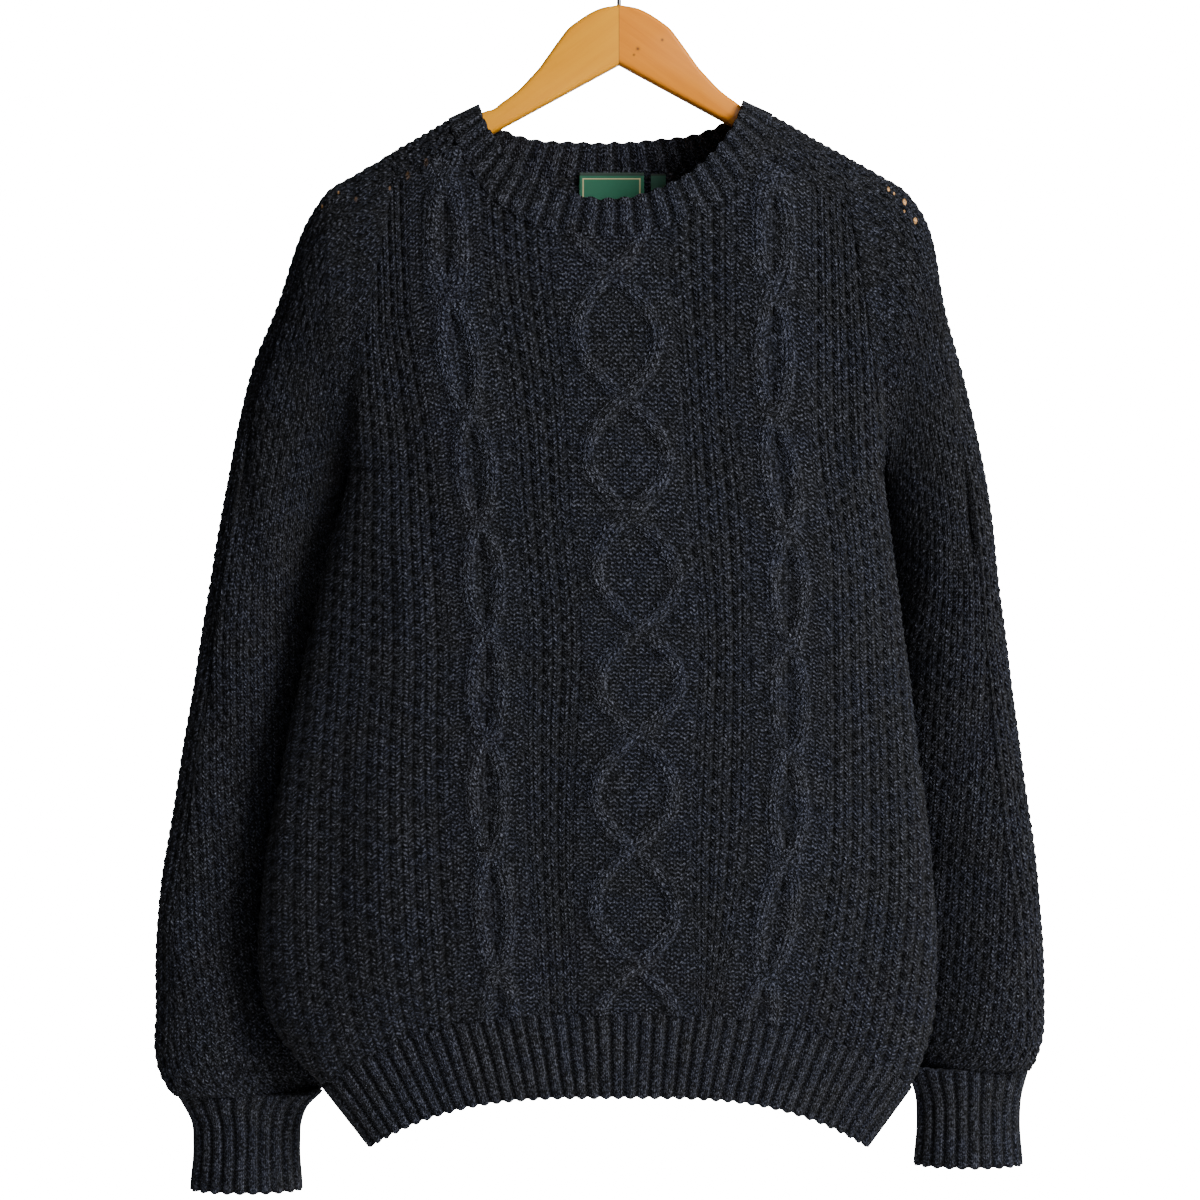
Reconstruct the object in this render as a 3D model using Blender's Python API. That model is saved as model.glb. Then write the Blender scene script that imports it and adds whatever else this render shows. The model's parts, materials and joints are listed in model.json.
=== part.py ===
"""Aran sweater of dark wool, hanging on a wooden hanger.

Metres, +Z up. The origin is the top of the inside of the hanger's hook, where a rail carries it.
The front of the sweater faces -Y, and "left" is the -X side.

Every knitted piece lies on one surface, the skin, which is worked out from the line of the shoulders,
the side edges and the depth of the front and the back. Each piece is a closed wall: its outer points
lie on the skin, raised where there is a cable or a rib, and its inner points form a plain surface.
"""

import math

import bmesh
import bpy
import numpy as np

# Sides of the garment
FRONT = -1.0
BACK = 1.0
LEFT = -1.0
RIGHT = 1.0

# Cloth and seams
WALL = 0.0032
SEAM_GAP = 0.0003
STRAP_GAP = 0.0006
ARMHOLE_GAP = 0.0007
CURVED_SEAM_EASE = 0.0010
RIB_WALL = 0.0036

# Shoulders
SWEATER_CENTRE_X = -0.003
SHOULDER_DEPTH = 0.036
SHOULDER_NORMAL_REACH = 0.035
NORMAL_STEP = 0.0015
NORMAL_STEP_PLACE = 0.006
UNDERARM_Z = -0.400
ARMHOLE_HALF_HEIGHT = 0.11375
ARMHOLE_MIDDLE_Z = UNDERARM_Z + ARMHOLE_HALF_HEIGHT
SECTION_POWER = 2.4
ROUNDNESS_Z = (-0.480, -0.400, -0.360, -0.280)
ROUNDNESS = (1.0 / SECTION_POWER, 0.30, 0.40, 0.70)

# Height of the shoulder line at a distance from the sweater's centre
RIDGE_DISTANCE = (0.000, 0.030, 0.060, 0.0945, 0.118, 0.143, 0.170, 0.194, 0.206)
RIDGE_Z = (-0.105, -0.109, -0.1215, -0.140, -0.151, -0.1654, -0.180, -0.194, -0.203)

# Side edges of the body, as seen from the front, from the hem up
EDGE_COLUMNS = ("z", "left", "right")
EDGES = (
    (-0.835, -0.2090, 0.2060),
    (-0.819, -0.2260, 0.2140),
    (-0.790, -0.2460, 0.2230),
    (-0.748, -0.2550, 0.2250),
    (-0.700, -0.2530, 0.2230),
    (-0.620, -0.2410, 0.2150),
    (-0.535, -0.2230, 0.2040),
    (-0.449, -0.2030, 0.1930),
    (-0.400, -0.1910, 0.1870),
    (-0.384, -0.1885, 0.1855),
    (-0.293, -0.1760, 0.1735),
    (-0.250, -0.1685, 0.1675),
    (-0.208, -0.1610, 0.1600),
    (-0.130, -0.1580, 0.1570),
)

# Depth of the front and the back in the middle, from the side seams
DEPTH_COLUMNS = ("z", "front", "back")
DEPTHS = (
    (-0.840, 0.036, 0.040),
    (-0.800, 0.041, 0.047),
    (-0.755, 0.046, 0.053),
    (-0.700, 0.046, 0.053),
    (-0.550, 0.044, 0.050),
    (-0.400, 0.045, 0.046),
    (-0.300, 0.044, 0.042),
    (-0.240, 0.042, 0.038),
    (-0.130, 0.040, 0.036),
)
SIDE_SEAM_Z = (-0.500, -0.300)
SIDE_SEAM_Y = (-0.012, 0.0)
HEM_PINCH = 0.12
HEM_PINCH_REACH = 0.022

# Soft folds of the body: upper and lower end, half width, and depth, which is less than 0 in a trough
FOLD_COLUMNS = ("top_x", "top_z", "bottom_x", "bottom_z", "width", "depth")
FOLDS = {
    FRONT: (
        (-0.166, -0.262, -0.138, -0.470, 0.017, -0.0050),
        (-0.143, -0.300, -0.152, -0.560, 0.016, 0.0030),
        (0.158, -0.285, 0.142, -0.450, 0.016, -0.0045),
        (0.138, -0.330, 0.158, -0.600, 0.018, 0.0028),
        (-0.196, -0.560, -0.214, -0.770, 0.020, -0.0040),
        (-0.160, -0.600, -0.168, -0.790, 0.022, 0.0034),
        (0.184, -0.590, 0.176, -0.780, 0.020, -0.0036),
        (0.052, -0.640, 0.064, -0.800, 0.024, 0.0022),
        (-0.046, -0.560, -0.030, -0.790, 0.024, -0.0020),
    ),
    BACK: (
        (-0.158, -0.270, -0.140, -0.480, 0.018, -0.0048),
        (0.150, -0.280, 0.136, -0.470, 0.017, -0.0050),
        (0.080, -0.330, 0.062, -0.620, 0.026, 0.0026),
        (-0.072, -0.420, -0.098, -0.740, 0.026, 0.0030),
        (0.170, -0.570, 0.184, -0.790, 0.020, -0.0040),
        (-0.190, -0.600, -0.184, -0.790, 0.019, -0.0034),
    ),
}
FOLD_FADE_IN = (-0.12, 0.25)
FOLD_FADE_OUT = (0.70, 1.12)
FOLD_EDGE_POWER = 6

# Neck: the seam of the band and its upper edge are loops on the skin
NECK_COLUMNS = ("centre_x", "half_width", "front_fall", "back_fall", "power")
NECK_SEAM = dict(zip(NECK_COLUMNS, (-0.0060, 0.1147, 0.1337, 0.0810, 1.53)))
NECK_TOP = dict(zip(NECK_COLUMNS, (-0.0057, 0.0945, 0.1080, 0.0574, 1.65)))
NECK_RIBS = 46
NECK_ROWS = (0.0, 1.0)
NECK_WALL = 0.0036

# Saddle straps: how far their seams lie below the shoulder line
STRAP_FALL = {(LEFT, FRONT): 0.028, (LEFT, BACK): 0.040, (RIGHT, FRONT): 0.040, (RIGHT, BACK): 0.028}
STRAP_ROWS = 4
STRAP_COLUMNS = (-1.0, -0.78, -0.52, -0.26, 0.0, 0.26, 0.52, 0.78, 1.0)
STRAP_CORNER_Z = -0.208
CORNER_ROUNDS = 6

# Cable crossings, from the neck down: heights in the middle and at the side, and the centre of each cable
CROSSINGS = (
    {"middle_z": -0.2640, "side_z": -0.310, "left": -0.1194, "chain": -0.0066, "right": 0.1069},
    {"middle_z": -0.3522, "side_z": -0.400, "left": -0.1048, "chain": 0.0024, "right": 0.1069},
    {"middle_z": -0.4325, "side_z": -0.478, "left": -0.0979, "chain": 0.0066, "right": 0.1159},
    {"middle_z": -0.5114, "side_z": -0.556, "left": -0.0924, "chain": 0.0142, "right": 0.1166},
    {"middle_z": -0.5854, "side_z": -0.630, "left": -0.0924, "chain": 0.0114, "right": 0.1166},
    {"middle_z": -0.6636, "side_z": -0.708, "left": -0.0896, "chain": 0.0086, "right": 0.1138},
    {"middle_z": -0.7439, "side_z": -0.790, "left": -0.0848, "chain": 0.0114, "right": 0.1007},
)
TOP_LINES = {"left": -0.1240, "chain": -0.0090, "right": 0.1080}
HEM_LINES = {"left": -0.0830, "chain": 0.0120, "right": 0.0950}
CABLE_REPEAT = 0.080
FIRST_OVAL_DROP = 0.012
COURSE_SAG_POWER = 2.4
ROWS_PER_REPEAT = 6
ROWS_AT_TOP = 6
ROWS_AT_HEM = 3
INSIDE_COURSES = (-1.0, -0.5, 0.0, 0.4, 0.75, 1.0, 1.3, 1.7, 2.5, 3.5, 4.5, 5.5, 6.3, 7.0)

# Cables: distance of a cord from its cable's centre, half a cord's width, and how round the opening is
CHAIN = {"spread": 0.0290, "half_cord": 0.0052, "swell": 0.95}
OVAL = {"spread": 0.0122, "half_cord": 0.0048, "swell": 0.60}
CORD_MEETING = 0.0034
CORD_HEIGHT = 0.0032
CORD_EDGE_GAP = 0.0004
FLANK_COLUMNS = (0.0, 0.03, 0.12, 0.28, 0.46, 0.68)
WAFFLE_COLUMNS = (0.18, 0.40, 0.68)

# Hem rib
HEM_SEAM_MIDDLE_Z = -0.7785
HEM_SEAM_SIDE_Z = -0.835
HEM_BOTTOM = {"middle_z": -0.8373, "side_z": -0.8767, "left": -0.1765, "right": 0.1755}
HEM_BOTTOM_DEPTH = {FRONT: 0.032, BACK: 0.037}
HEM_CURVE_POWER = 3.2
HEM_RIBS = 46
HEM_ROWS = (0.0, 1.0)
RIB_HEIGHT = 0.0018
RIB_PROFILE = (0.0, 1.0, 1.0, 0.0)
RIB_SPACING_ROW = 0.6
DENSE_POINTS = 1201

# Sleeves: rings from the shoulder to the cuff. Each has its outer end, its inner end and half its depth.
SLEEVE_COLUMNS = ("outer_x", "outer_z", "outer_y", "inner_x", "inner_z", "inner_y", "half_depth")
LEFT_SLEEVE = (
    (-0.1880, -0.1903, 0.000, -0.1935, -0.406, 0.001, 0.0360),
    (-0.2065, -0.2015, 0.000, -0.1955, -0.413, 0.003, 0.0360),
    (-0.2166, -0.2150, 0.000, -0.1980, -0.421, 0.006, 0.0360),
    (-0.2428, -0.2790, 0.002, -0.2045, -0.443, 0.016, 0.0360),
    (-0.2598, -0.3216, 0.004, -0.2085, -0.458, 0.024, 0.0360),
    (-0.2705, -0.3642, 0.006, -0.2115, -0.476, 0.032, 0.0355),
    (-0.2790, -0.4070, 0.008, -0.2125, -0.498, 0.039, 0.0350),
    (-0.2955, -0.4920, 0.012, -0.2090, -0.550, 0.046, 0.0340),
    (-0.3046, -0.5559, 0.014, -0.2110, -0.600, 0.048, 0.0340),
    (-0.3124, -0.5985, 0.016, -0.2140, -0.636, 0.050, 0.0335),
    (-0.3216, -0.6624, 0.018, -0.2160, -0.692, 0.052, 0.0335),
    (-0.3302, -0.7263, 0.018, -0.2130, -0.748, 0.052, 0.0340),
    (-0.3316, -0.7902, 0.016, -0.2070, -0.803, 0.048, 0.0345),
    (-0.3323, -0.8115, 0.015, -0.2050, -0.820, 0.046, 0.0345),
    (-0.3273, -0.8328, 0.014, -0.2070, -0.836, 0.044, 0.0320),
    (-0.3195, -0.8450, 0.013, -0.2125, -0.845, 0.042, 0.0280),
)
RIGHT_SLEEVE = (
    (0.1850, -0.1903, 0.000, 0.1900, -0.406, 0.001, 0.0360),
    (0.2024, -0.2010, 0.000, 0.1925, -0.413, 0.003, 0.0360),
    (0.2137, -0.2150, 0.000, 0.1950, -0.421, 0.006, 0.0360),
    (0.2315, -0.2790, 0.002, 0.1990, -0.443, 0.016, 0.0360),
    (0.2428, -0.3216, 0.004, 0.2000, -0.458, 0.024, 0.0360),
    (0.2528, -0.3642, 0.006, 0.1995, -0.476, 0.032, 0.0355),
    (0.2620, -0.4068, 0.008, 0.1975, -0.498, 0.039, 0.0350),
    (0.2741, -0.4920, 0.012, 0.1900, -0.550, 0.046, 0.0340),
    (0.2815, -0.5559, 0.014, 0.1860, -0.600, 0.048, 0.0340),
    (0.2876, -0.5985, 0.016, 0.1855, -0.636, 0.050, 0.0335),
    (0.2954, -0.6624, 0.018, 0.1880, -0.692, 0.052, 0.0335),
    (0.3025, -0.7263, 0.018, 0.1910, -0.745, 0.052, 0.0340),
    (0.3046, -0.7800, 0.016, 0.1950, -0.788, 0.048, 0.0345),
    (0.3039, -0.8020, 0.015, 0.1980, -0.806, 0.046, 0.0345),
    (0.2990, -0.8190, 0.014, 0.2020, -0.820, 0.044, 0.0320),
    (0.2950, -0.8270, 0.013, 0.2060, -0.827, 0.042, 0.0280),
)
SLEEVE_BOTTOM_COLUMNS = 12

# Cuffs: rings from the sleeve down. Each has its height below the seam, its ends and half its depth.
CUFF_COLUMNS = ("fall", "outer_x", "inner_x", "half_depth")
LEFT_CUFF = (
    (0.000, -0.3185, -0.2135, 0.0275),
    (0.009, -0.3130, -0.2230, 0.0240),
    (0.021, -0.3068, -0.2285, 0.0205),
    (0.038, -0.3053, -0.2300, 0.0195),
    (0.070, -0.3078, -0.2280, 0.0195),
)
RIGHT_CUFF = (
    (0.000, 0.2945, 0.2065, 0.0275),
    (0.009, 0.2920, 0.2100, 0.0240),
    (0.021, 0.2890, 0.2140, 0.0205),
    (0.038, 0.2878, 0.2152, 0.0195),
    (0.070, 0.2900, 0.2128, 0.0195),
)
CUFF_CENTRE_Y = 0.0275
CUFF_RIBS = 21
CUFF_ROWS = (0.0, 0.3, 1.0)

# Labels inside the back neck
LABEL_THICKNESS = 0.0008
LABEL_GAP = 0.0010
LABEL_COLUMNS = 5
LABEL_ROWS = 3
NECK_LABEL = {"centre_x": -0.0052, "width": 0.047, "top_z": -0.1835, "height": 0.032}
SIZE_TAB = {"centre_x": 0.0287, "width": 0.011, "top_z": -0.1845, "height": 0.0135}

# Hanger
ARM_THICKNESS = 0.013
ARM_ROUNDING = 0.0035
ARM_JOINT_GAP = 0.00015
ARM_TIP_X = 0.203
ARM_END_RADIUS = 0.0095
ARM_END_DROP = 0.002
ARM_END_TURNS = (60.0, 30.0, 0.0, -30.0, -60.0, -95.0)
ARM_UNDER_BAND_STEPS = 7
ARM_UPPER = (
    (0.000, -0.0700), (0.014, -0.0722), (0.026, -0.0775), (0.035, -0.0860), (0.043, -0.0945),
    (0.051, -0.1045), (0.062, -0.1205), (0.0715, -0.1295), (0.078, -0.1355), (0.0855, -0.1432),
)
ARM_LOWER = ((0.118, -0.1764), (0.059, -0.1444), (0.000, -0.1124))
ARM_UNDER_BAND_X = 0.094
ARM_BELOW_SHOULDER = 0.0070
HOOK_WIRE_RADIUS = 0.0016
HOOK_RADIUS = 0.0205
HOOK_NECK_STEPS = 6
HOOK_STEM_TOP_Z = -0.0530
HOOK_OPEN_ANGLE = math.radians(215.0)
HOOK_END_ANGLE = math.radians(-50.0)
HOOK_STEPS = 18

# Materials
WOOL = {"name": "navy wool", "colour": (0.016, 0.019, 0.027, 1.0), "roughness": 0.95, "metallic": 0.0}
WOOD = {"name": "varnished wood", "colour": (0.72, 0.36, 0.09, 1.0), "roughness": 0.35, "metallic": 0.0}
WIRE = {"name": "dark steel wire", "colour": (0.10, 0.10, 0.11, 1.0), "roughness": 0.35, "metallic": 1.0}
GREEN = {"name": "green woven tape", "colour": (0.045, 0.17, 0.085, 1.0), "roughness": 0.7, "metallic": 0.0}


def clear_scene():
    """Remove the objects that a new file holds."""
    for obj in list(bpy.data.objects):
        bpy.data.objects.remove(obj, do_unlink=True)


def make_material(look):
    """Return a Principled material from a named look."""
    material = bpy.data.materials.new(look["name"])
    material.use_nodes = True
    shader = material.node_tree.nodes["Principled BSDF"]
    shader.inputs["Base Color"].default_value = look["colour"]
    shader.inputs["Roughness"].default_value = look["roughness"]
    shader.inputs["Metallic"].default_value = look["metallic"]
    return material


def smooth_curve(stations, values, at):
    """Cubic through values at rising stations, held level past both ends."""
    stations = np.asarray(stations)
    values = np.asarray(values)
    at = np.clip(np.asarray(at, dtype=float), stations[0], stations[-1])
    slopes = np.gradient(values, stations)
    low = np.clip(np.searchsorted(stations, at) - 1, 0, len(stations) - 2)
    span = stations[low + 1] - stations[low]
    t = (at - stations[low]) / span
    start = (2 * t**3 - 3 * t**2 + 1) * values[low] + (t**3 - 2 * t**2 + t) * span * slopes[low]
    end = (3 * t**2 - 2 * t**3) * values[low + 1] + (t**3 - t**2) * span * slopes[low + 1]
    return start + end


def mix(a, b, share):
    """Value that lies a share of the way from a to b."""
    return a + (b - a) * share


def named_columns(names, rows):
    """Columns of a table by name."""
    return dict(zip(names, np.array(rows).T))


EDGE = named_columns(EDGE_COLUMNS, EDGES)
DEPTH = named_columns(DEPTH_COLUMNS, DEPTHS)


# The skin


def ridge_z(x):
    """Height of the shoulder line."""
    distance = np.abs(np.asarray(x) - SWEATER_CENTRE_X)
    inside = smooth_curve(RIDGE_DISTANCE, RIDGE_Z, distance)
    slope = (RIDGE_Z[-1] - RIDGE_Z[-2]) / (RIDGE_DISTANCE[-1] - RIDGE_DISTANCE[-2])
    return inside + slope * np.maximum(distance - RIDGE_DISTANCE[-1], 0.0)


def edge_x(z, side):
    """Side edge of the body at a height."""
    return smooth_curve(EDGE["z"], EDGE["left" if side == LEFT else "right"], z)


def across(x, z):
    """Place across the body: -1 at the left edge and 1 at the right one."""
    left = edge_x(z, LEFT)
    right = edge_x(z, RIGHT)
    return (x - (left + right) / 2) / ((right - left) / 2)


def x_at(place, z):
    """X of a place across the body."""
    left = edge_x(z, LEFT)
    right = edge_x(z, RIGHT)
    return (left + right) / 2 + place * (right - left) / 2


def hem_seam_z(x):
    """Height of the seam between the body and the hem rib."""
    place = np.clip(across(x, HEM_SEAM_SIDE_Z), -1.0, 1.0)
    return mix(HEM_SEAM_MIDDLE_Z, HEM_SEAM_SIDE_Z, np.abs(place) ** HEM_CURVE_POWER)


def smooth_step(value, low, high):
    """Smooth step from 0 at low to 1 at high."""
    share = np.clip((value - low) / (high - low), 0.0, 1.0)
    return share * share * (3.0 - 2.0 * share)


def fold_depth(x, z, face):
    """Depth that the body's soft folds add to the skin."""
    total = np.zeros(np.broadcast(x, z).shape)
    for row in FOLDS[face]:
        fold = dict(zip(FOLD_COLUMNS, row))
        down = (fold["top_z"] - z) / (fold["top_z"] - fold["bottom_z"])
        line_x = mix(fold["top_x"], fold["bottom_x"], np.clip(down, 0.0, 1.0))
        fade = smooth_step(down, *FOLD_FADE_IN) * (1.0 - smooth_step(down, *FOLD_FADE_OUT))
        total = total + fold["depth"] * fade * np.exp(-(((x - line_x) / fold["width"]) ** 2))
    return total


def skin_depth(place, z, x, face):
    """Distance of the skin from the plane of the side seams."""
    middle = smooth_curve(DEPTH["z"], DEPTH["front" if face == FRONT else "back"], z)
    below_middle = np.clip((ARMHOLE_MIDDLE_Z - z) / ARMHOLE_HALF_HEIGHT, 0.0, 1.0)
    edge = SHOULDER_DEPTH * np.sqrt(1.0 - below_middle**2)
    roundness = np.interp(z, ROUNDNESS_Z, ROUNDNESS)
    bulge = (1.0 - np.minimum(np.abs(place), 1.0) ** SECTION_POWER) ** roundness
    full = mix(edge, middle, bulge)
    below_ridge = np.clip((ridge_z(x) - z) / ARMHOLE_HALF_HEIGHT, 0.0, 1.0)
    shoulder = np.sqrt(1.0 - (1.0 - below_ridge) ** 2)
    above_hem = (z - hem_seam_z(x)) / HEM_PINCH_REACH
    pinch = 1.0 - HEM_PINCH * np.exp(-(above_hem**2))
    inside_edges = 1.0 - np.minimum(np.abs(place), 1.0) ** FOLD_EDGE_POWER
    return full * shoulder * pinch + fold_depth(x, z, face) * inside_edges


def skin(x, z, face):
    """Points of the front or back of the body."""
    x = np.asarray(x, dtype=float)
    z = np.asarray(z, dtype=float)
    seam_y = np.interp(z, SIDE_SEAM_Z, SIDE_SEAM_Y)
    y = seam_y + face * skin_depth(across(x, z), z, x, face)
    return np.stack(np.broadcast_arrays(x, y, z), axis=-1)


def skin_normal(x, z, face):
    """Outward normals of the skin."""
    place = np.clip(across(x, z), -1.0, 1.0)
    low = np.maximum(place - NORMAL_STEP_PLACE, -1.0)
    high = np.minimum(place + NORMAL_STEP_PLACE, 1.0)
    along_x = skin(x_at(high, z), z, face) - skin(x_at(low, z), z, face)
    above = z + NORMAL_STEP
    below = z - NORMAL_STEP
    along_z = skin(x_at(place, above), above, face) - skin(x_at(place, below), below, face)
    body = unit(np.cross(along_x, along_z)) * -face
    fall = ridge_z(x) - z
    level = 1.0 - np.clip(fall / ARMHOLE_HALF_HEIGHT, 0.0, 1.0)
    up = level / ARMHOLE_HALF_HEIGHT
    slope = (ridge_z(x + NORMAL_STEP) - ridge_z(x - NORMAL_STEP)) / (2.0 * NORMAL_STEP)
    shoulder = unit(np.stack((-up * slope, face * np.sqrt(1.0 - level**2) / SHOULDER_DEPTH, up), axis=-1))
    share = np.clip(fall / SHOULDER_NORMAL_REACH, 0.0, 1.0)[..., None]
    return unit(mix(shoulder, body, share))


def clear_of_seam(points, face):
    """Points kept on their own side of the plane of the side seams."""
    seam_y = np.interp(points[:, 2], SIDE_SEAM_Z, SIDE_SEAM_Y)
    reach = np.maximum(face * (points[:, 1] - seam_y), SEAM_GAP / 2)
    return np.stack((points[:, 0], seam_y + face * reach, points[:, 2]), axis=-1)


def unit(vectors):
    """Vectors scaled to length one."""
    return vectors / np.linalg.norm(vectors, axis=-1, keepdims=True)


# Meshes


def add_rows(mesh, rows, closed):
    """Lay a grid of faces over rows of points, and return its vertices."""
    vertices = [[mesh.verts.new(point) for point in row] for row in rows]
    count = len(vertices[0])
    for lower, upper in zip(vertices, vertices[1:]):
        for i in range(count if closed else count - 1):
            j = (i + 1) % count
            mesh.faces.new((lower[i], lower[j], upper[j], upper[i]))
    return vertices


def join_lines(mesh, first, second, first_places, second_places):
    """Close the strip between two lines of vertices, with the place of each vertex along the strip."""
    i = 0
    j = 0
    while i < len(first) - 1 or j < len(second) - 1:
        second_is_done = j == len(second) - 1
        if second_is_done or (i < len(first) - 1 and first_places[i + 1] <= second_places[j + 1]):
            mesh.faces.new((first[i], first[i + 1], second[j]))
            i += 1
        else:
            mesh.faces.new((first[i], second[j + 1], second[j]))
            j += 1


def wall_mesh(name, outer_rows, inner_rows, closed, outer_places=None, inner_places=None):
    """Mesh of a wall between two grids of points, with all its edges closed.

    The places of the rows are given where the two grids' rows don't lie evenly.
    """
    mesh = bmesh.new()
    outer = add_rows(mesh, outer_rows, closed)
    inner = add_rows(mesh, inner_rows, closed)
    for row in (0, -1):
        end = 1 if closed else 0
        outer_line = outer[row] + outer[row][:end]
        inner_line = inner[row] + inner[row][:end]
        join_lines(mesh, outer_line, inner_line, evenly(outer_line), evenly(inner_line))
    if not closed:
        outer_places = evenly(outer) if outer_places is None else outer_places
        inner_places = evenly(inner) if inner_places is None else inner_places
        for column in (0, -1):
            outer_line = [row[column] for row in outer]
            inner_line = [row[column] for row in inner]
            join_lines(mesh, outer_line, inner_line, outer_places, inner_places)
    return finish_mesh(name, mesh)


def evenly(items):
    """Even places from 0 to 1 for a list's items."""
    return np.linspace(0.0, 1.0, len(items))


def finish_mesh(name, mesh):
    """Turn a bmesh into a mesh with its faces pointing out."""
    bmesh.ops.recalc_face_normals(mesh, faces=mesh.faces)
    data = bpy.data.meshes.new(name)
    mesh.to_mesh(data)
    mesh.free()
    data.shade_smooth()
    data.set_sharp_from_angle(angle=math.radians(50.0))
    return data


def place_mesh(data, material, collection, parent):
    """Put a mesh into the scene under its own name."""
    data.materials.append(material)
    obj = bpy.data.objects.new(data.name, data)
    collection.objects.link(obj)
    obj.parent = parent
    return obj


def strap_corner_z(side, face):
    """Height at which the strap's seam meets the armhole."""
    z = STRAP_CORNER_Z
    for _ in range(CORNER_ROUNDS):
        z = ridge_z(edge_x(z, side)) - STRAP_FALL[(side, face)]
    return float(z)


# Front and back panels


def cord_columns(centre, phase, cable):
    """Places and heights of the seven columns over one cable: three on each cord and one between."""
    open_share = np.abs(math.sin(math.pi * phase)) ** cable["swell"]
    spread = mix(CORD_MEETING, cable["spread"], open_share)
    half = cable["half_cord"]
    inner_half = min(half, spread - CORD_EDGE_GAP)
    merged = CORD_HEIGHT * max(0.0, 1.0 - (spread - CORD_MEETING) / half)
    offsets = (-spread - half, -spread, inner_half - spread, 0.0, spread - inner_half, spread, spread + half)
    heights = (0.0, CORD_HEIGHT, merged, merged, merged, CORD_HEIGHT, 0.0)
    return [centre + offset for offset in offsets], list(heights)


def panel_top_z(x, face):
    """Upper edge of a panel: the strap seams at the sides and the neck seam between them."""
    side = np.where(x < SWEATER_CENTRE_X, STRAP_FALL[(LEFT, face)], STRAP_FALL[(RIGHT, face)])
    strap = ridge_z(x) - side - STRAP_GAP
    reach = np.clip((x - NECK_SEAM["centre_x"]) / (NECK_SEAM["half_width"] + CURVED_SEAM_EASE), -1.0, 1.0)
    fall = NECK_SEAM["front_fall"] if face == FRONT else NECK_SEAM["back_fall"]
    neck = ridge_z(x) - fall * np.sqrt(1.0 - reach**2) ** NECK_SEAM["power"] - CURVED_SEAM_EASE
    return np.minimum(strap, neck)


def panel_course(course, face):
    """Middle and side heights, cable centres and cable phase at a course; -1 is the top and 7 the hem."""
    last = len(CROSSINGS) - 1
    names = ("left", "chain", "right")
    if course < 0:
        lines = {name: mix(CROSSINGS[0][name], TOP_LINES[name], -course) for name in names}
        first = CROSSINGS[0]
        tops = {name: float(panel_top_z(TOP_LINES[name], face)) for name in names}
        oval_start = first["middle_z"] - FIRST_OVAL_DROP
        starts = {"left": oval_start, "chain": first["middle_z"], "right": oval_start}
        return lines, {name: -course * (tops[name] - starts[name]) / CABLE_REPEAT for name in names}
    if course > last:
        share = course - last
        lines = {name: mix(CROSSINGS[last][name], HEM_LINES[name], share) for name in names}
        fall = (CROSSINGS[last]["middle_z"] - HEM_SEAM_MIDDLE_Z) * share
        return lines, {name: fall / CABLE_REPEAT for name in names}
    stations = range(len(CROSSINGS))
    centres = {name: [row[name] for row in CROSSINGS] for name in names}
    lines = {name: float(smooth_curve(stations, centres[name], course)) for name in names}
    return lines, {name: course % 1.0 for name in names}


def course_z(course, x, face):
    """Height of a course of knitting at places across the panel."""
    last = len(CROSSINGS) - 1

    def crossing_z(index, place):
        row = CROSSINGS[index]
        return mix(row["middle_z"], row["side_z"], np.minimum(np.abs(place), 1.0) ** COURSE_SAG_POWER)

    if course < 0:
        place = across(x, CROSSINGS[0]["middle_z"])
        return mix(crossing_z(0, place), panel_top_z(x, face), -course)
    if course > last:
        place = across(x, CROSSINGS[last]["side_z"])
        return mix(crossing_z(last, place), hem_seam_z(x) + CURVED_SEAM_EASE, course - last)
    low = min(int(course), last - 1)
    place = across(x, mix(CROSSINGS[low]["side_z"], CROSSINGS[low + 1]["side_z"], course - low))
    return mix(crossing_z(low, place), crossing_z(low + 1, place), course - low)


def side_z(course, side, face):
    """Height at which a course meets the side edge."""
    last = len(CROSSINGS) - 1
    if course < 0:
        return mix(CROSSINGS[0]["side_z"], strap_corner_z(side, face) - STRAP_GAP, -course)
    if course > last:
        return mix(CROSSINGS[last]["side_z"], HEM_SEAM_SIDE_Z + CURVED_SEAM_EASE, course - last)
    low = min(int(course), last - 1)
    return mix(CROSSINGS[low]["side_z"], CROSSINGS[low + 1]["side_z"], course - low)


def panel_row(course, face):
    """Places, heights above the skin and Z of one row of a panel's points."""
    lines, phases = panel_course(course, face)
    cables = [
        cord_columns(lines["left"], phases["left"], OVAL),
        cord_columns(lines["chain"], phases["chain"], CHAIN),
        cord_columns(lines["right"], phases["right"], OVAL),
    ]
    left = float(edge_x(side_z(course, LEFT, face), LEFT))
    right = float(edge_x(side_z(course, RIGHT, face), RIGHT))
    xs = [mix(left, cables[0][0][0], share) for share in FLANK_COLUMNS]
    heights = [0.0] * len(FLANK_COLUMNS)
    for index, (cable_xs, cable_heights) in enumerate(cables):
        if index:
            shares = WAFFLE_COLUMNS if index == 1 else [1.0 - share for share in reversed(WAFFLE_COLUMNS)]
            xs += [mix(xs[-1], cable_xs[0], share) for share in shares]
            heights += [0.0] * len(shares)
        xs += cable_xs
        heights += cable_heights
    xs += [mix(right, cables[2][0][-1], share) for share in reversed(FLANK_COLUMNS)]
    heights += [0.0] * len(FLANK_COLUMNS)
    xs = np.array(xs)
    zs = course_z(course, xs, face)
    zs[0] = side_z(course, LEFT, face)
    zs[-1] = side_z(course, RIGHT, face)
    return xs, zs, np.array(heights)


def panel_points(course, face, raised, inset):
    """One row of a panel's points, raised over its cables or set in below the skin."""
    xs, zs, heights = panel_row(course, face)
    offset = heights * raised - inset
    points = skin(xs, zs, face) + skin_normal(xs, zs, face) * offset[:, None]
    return clear_of_seam(points, face)


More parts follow.
